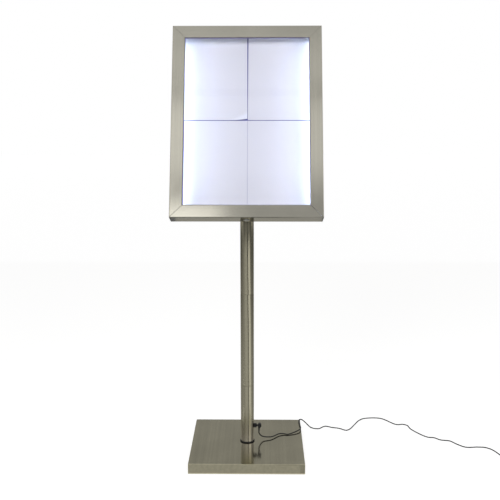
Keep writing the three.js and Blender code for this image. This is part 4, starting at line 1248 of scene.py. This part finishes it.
# %% Finishes of the hidden parts
hidden_parts = {
    dark_steel: "base_weight base_bottom_plate foot_spigot pole_lower_coupler pole_upper_coupler",
    zinc_steel: "foot_bolt hinge_pin",
    black_cord: "pole_lead case_lead strip_lead_left strip_lead_right",
    white_plastic: "led_strip_left led_strip_right",
}
for finish, parts in hidden_parts.items():
    for part in parts.split():
        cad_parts[part].material_slots[0].material = finish
    print(finish.name, "on", parts)

# %% [markdown]
# ## Floor, world and lamps
# The stand is seen against plain white, as in a photo studio.
# The floor and the world are white to the camera and in mirrors, and dimmer where they only give light.
# The floor still takes the stand's soft shadow.
# Two lamps light the stand from the front, and mirrors don't show them.

# %% Floor and world
white = (1, 1, 1, 1)


def seen_share(tree):
    """1 for rays from the camera, from mirrors and through clear pieces, and 0 for all others."""
    rays = node(tree, "LightPath").outputs
    seen = figure(tree, "MAXIMUM", rays["Is Camera Ray"], rays["Is Glossy Ray"])
    return figure(tree, "MAXIMUM", seen, rays["Is Transmission Ray"])


floor = add_shape("plane", size=30)
floor.name = "floor"
floor_finish, tree, shader = new_finish("white floor")
whiteness = figure(tree, "MULTIPLY", seen_share(tree), 0.80)
fill(tree, shader, {"Base Color": (0.46, 0.46, 0.46, 1), "Roughness": 0.9})
fill(tree, shader, {"Emission Color": white, "Emission Strength": whiteness})
floor.data.materials.append(floor_finish)
floor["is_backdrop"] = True

world = bpy.data.worlds.new("white studio")
bpy.context.scene.world = world
world.use_nodes = True
tree = world.node_tree
strength = carried(tree, seen_share(tree), 0, 1, 0.30, 1.0)
fill(tree, tree.nodes["Background"], {"Color": white, "Strength": strength})
print("floor", floor.name, "and world", world.name)


# %% Lamps
def soft_lamp(name, place, aim, size, power):
    """A square area lamp that faces a point."""
    bpy.ops.object.light_add(type="AREA", location=place)
    lamp = bpy.context.object
    lamp.name = name
    lamp.rotation_euler = (Vector(aim) - Vector(place)).to_track_quat("-Z", "Y").to_euler()
    lamp.data.shape = "SQUARE"
    lamp.data.size = size
    lamp.data.energy = power
    lamp.visible_glossy = False


soft_lamp("key lamp", (-0.95, -2.75, 2.45), (0, 0, 0.95), size=1.3, power=39)
soft_lamp("fill lamp", (1.9, -2.3, 1.9), (0, 0, 0.9), size=1.8, power=30)

# %% [markdown]
# ## Cards that only mirrors see
# Round steel shows a strip of everything around it, so the pole's stripes come from cards round it.
# Each arc's brightness is that of its stripe, and changes with height.
# One more arc, which fades away upwards, stands for the shade of the case on the pole's top.
# Flat cards on the floor and behind show in the foot and in the pole's outermost stripes.
# High cards before the stand show in the case's front, which leans back and mirrors what is above.

# %% Helpers for cards
turns_change, turns_changed = 0.45, 0.49


def to_stage_card(board, name, brightness, grading=None, colour=white):
    """Makes a mesh a card that only mirror rays meet.

    A grading (axis, start, end, brightness there) changes the brightness along the card.
    """
    board.name = name
    for rays in ("camera", "diffuse", "transmission", "shadow"):
        setattr(board, "visible_" + rays, False)
    finish, tree, shader = new_finish(name + " finish")
    if grading:
        axis, start, end, end_brightness = grading
        place = axis_part(tree, own_place(tree), axis)
        brightness = carried(tree, place, start, end, brightness, end_brightness)
    fill(tree, shader, {"Base Color": (0, 0, 0, 1), "Specular IOR Level": 0.0})
    fill(tree, shader, {"Emission Color": colour, "Emission Strength": brightness})
    board.data.materials.append(finish)
    board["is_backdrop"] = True


def arc_card(
    name, turns, low_brightness, high_brightness, low_turns=None,
    heights=(0.005, 0.80), away=0.42, foot_away=None, fade=(0.15, 0.72),
):
    """A card bent round the pole between two directions: 0 degrees is the front, 90 the right.

    Its lower half may lie between two other directions, and its foot may lie along the floor.
    Its brightness changes between the two heights of fade.
    """
    low, top = heights
    low_turns = low_turns or turns
    rows = {
        -0.5: (foot_away or away, low, low_turns),
        -0.25: (away, low, low_turns),
        0.0: (away, max(low, turns_change), low_turns),
        0.25: (away, max(low, turns_changed), turns),
        0.5: (away, top, turns),
    }
    board = add_shape("grid", x_subdivisions=12, y_subdivisions=4, size=1)
    for vertex in board.data.vertices:
        reach, height, (start, end) = rows[round(vertex.co.y, 2)]
        direction = math.radians(start + (vertex.co.x + 0.5) * (end - start))
        vertex.co = (reach * math.sin(direction), -reach * math.cos(direction), height)
    to_stage_card(board, name, low_brightness, ("Z", *fade, high_brightness))


def flat_card(name, across, rise, brightness, right_brightness=None, depth=None, colour=white):
    """A flat card between two places across and two heights at its depth.

    Without a depth it lies on the floor, and rise is where it starts and ends in depth.
    """
    (left, right), (start, end) = across, rise
    middle, turn = ((left + right) / 2, (start + end) / 2, 0.004), 0
    if depth:
        middle, turn = (middle[0], depth, middle[1]), math.pi / 2
    size = (right - left, end - start, 1)
    board = add_shape("plane", scale=size, size=1, location=middle, rotation=(turn, 0, 0))
    grading = right_brightness and ("X", -0.5, 0.5, right_brightness)
    to_stage_card(board, name, brightness, grading, colour)


# %% Cards round the pole
reach_in = {"foot_away": 0.285}
short = {"heights": (0.005, 0.70)}
arc_card("left dark card", (-138, -94), 0.48, 0.11, **reach_in)
arc_card("left dim card", (-94, -72), 0.42, 0.24, **reach_in)
arc_card("left grey card", (-72, -52), 0.50, 0.33)
arc_card("left front card", (-52, -34), 0.46, 0.55, **short)
arc_card("front left card", (-34, 1.5), 0.66, 0.60, (-34, 14), heights=(0.005, 0.715))
arc_card("front dark card", (1.5, 16), 0.28, 0.07, (14, 30), **short)
arc_card("front right card", (16, 52), 1.12, 1.00, (30, 62), **short)
arc_card("right dim card", (52, 75), 0.62, 0.14, (62, 80))
arc_card("right dark card", (75, 138), 0.40, 0.13, (80, 138), **reach_in)
arc_card("shade of the case", (-75, 75), 0.07, 0.80, heights=(0.60, 0.90), away=0.46, fade=(0.85, 0.92))

# %% Cards on the floor and behind the stand
flat_card("front floor card", (-0.3, 0.179), (-0.95, -0.198), 0.575)
flat_card("front corner floor card", (0.179, 0.3), (-0.95, -0.198), 0.44)
flat_card("rear dark floor card", (-1.2, 1.2), (0.30, 1.05), 0.20)
flat_card("rear floor card", (-2.6, 2.6), (1.06, 3.4), 0.45, colour=(1, 0.97, 0.86, 1))
flat_card("rear low card", (-2.6, 2.6), (0.01, 0.58), 0.2, depth=2.48)
flat_card("rear card", (-1.4, 1.4), (0.6, 2.1), 0.395, depth=2.5)

# %% Cards for the case's front
before = {"depth": -2.6}
wide = (-1.6, 1.6)
flat_card("top card", wide, (4.0, 4.8), 1.22, 0.68, **before)
flat_card("upper card", wide, (3.575, 4.0), 1.30, 1.18, **before)
flat_card("thin dark card", wide, (3.505, 3.575), 0.02, 0.10, **before)
flat_card("middle card", wide, (2.78, 3.505), 1.95, 1.07, **before)
flat_card("low left card", (-1.4, -0.235), (1.95, 2.545), 2.75, **before)
flat_card("low right card", (-0.14, 1.4), (1.95, 2.70), 0.80, 0.64, **before)

# %% [markdown]
# The Standard view keeps a white of strength 1 white, and shows each colour as it is written.

# %% View
bpy.context.scene.view_settings.view_transform = "Standard"

# %% [markdown]
# ## Finish
# The size of the box round everything is printed.

# %% Sizes and finish
low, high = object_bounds()
print("dressed model", tuple(round(value, 3) for value in high - low))
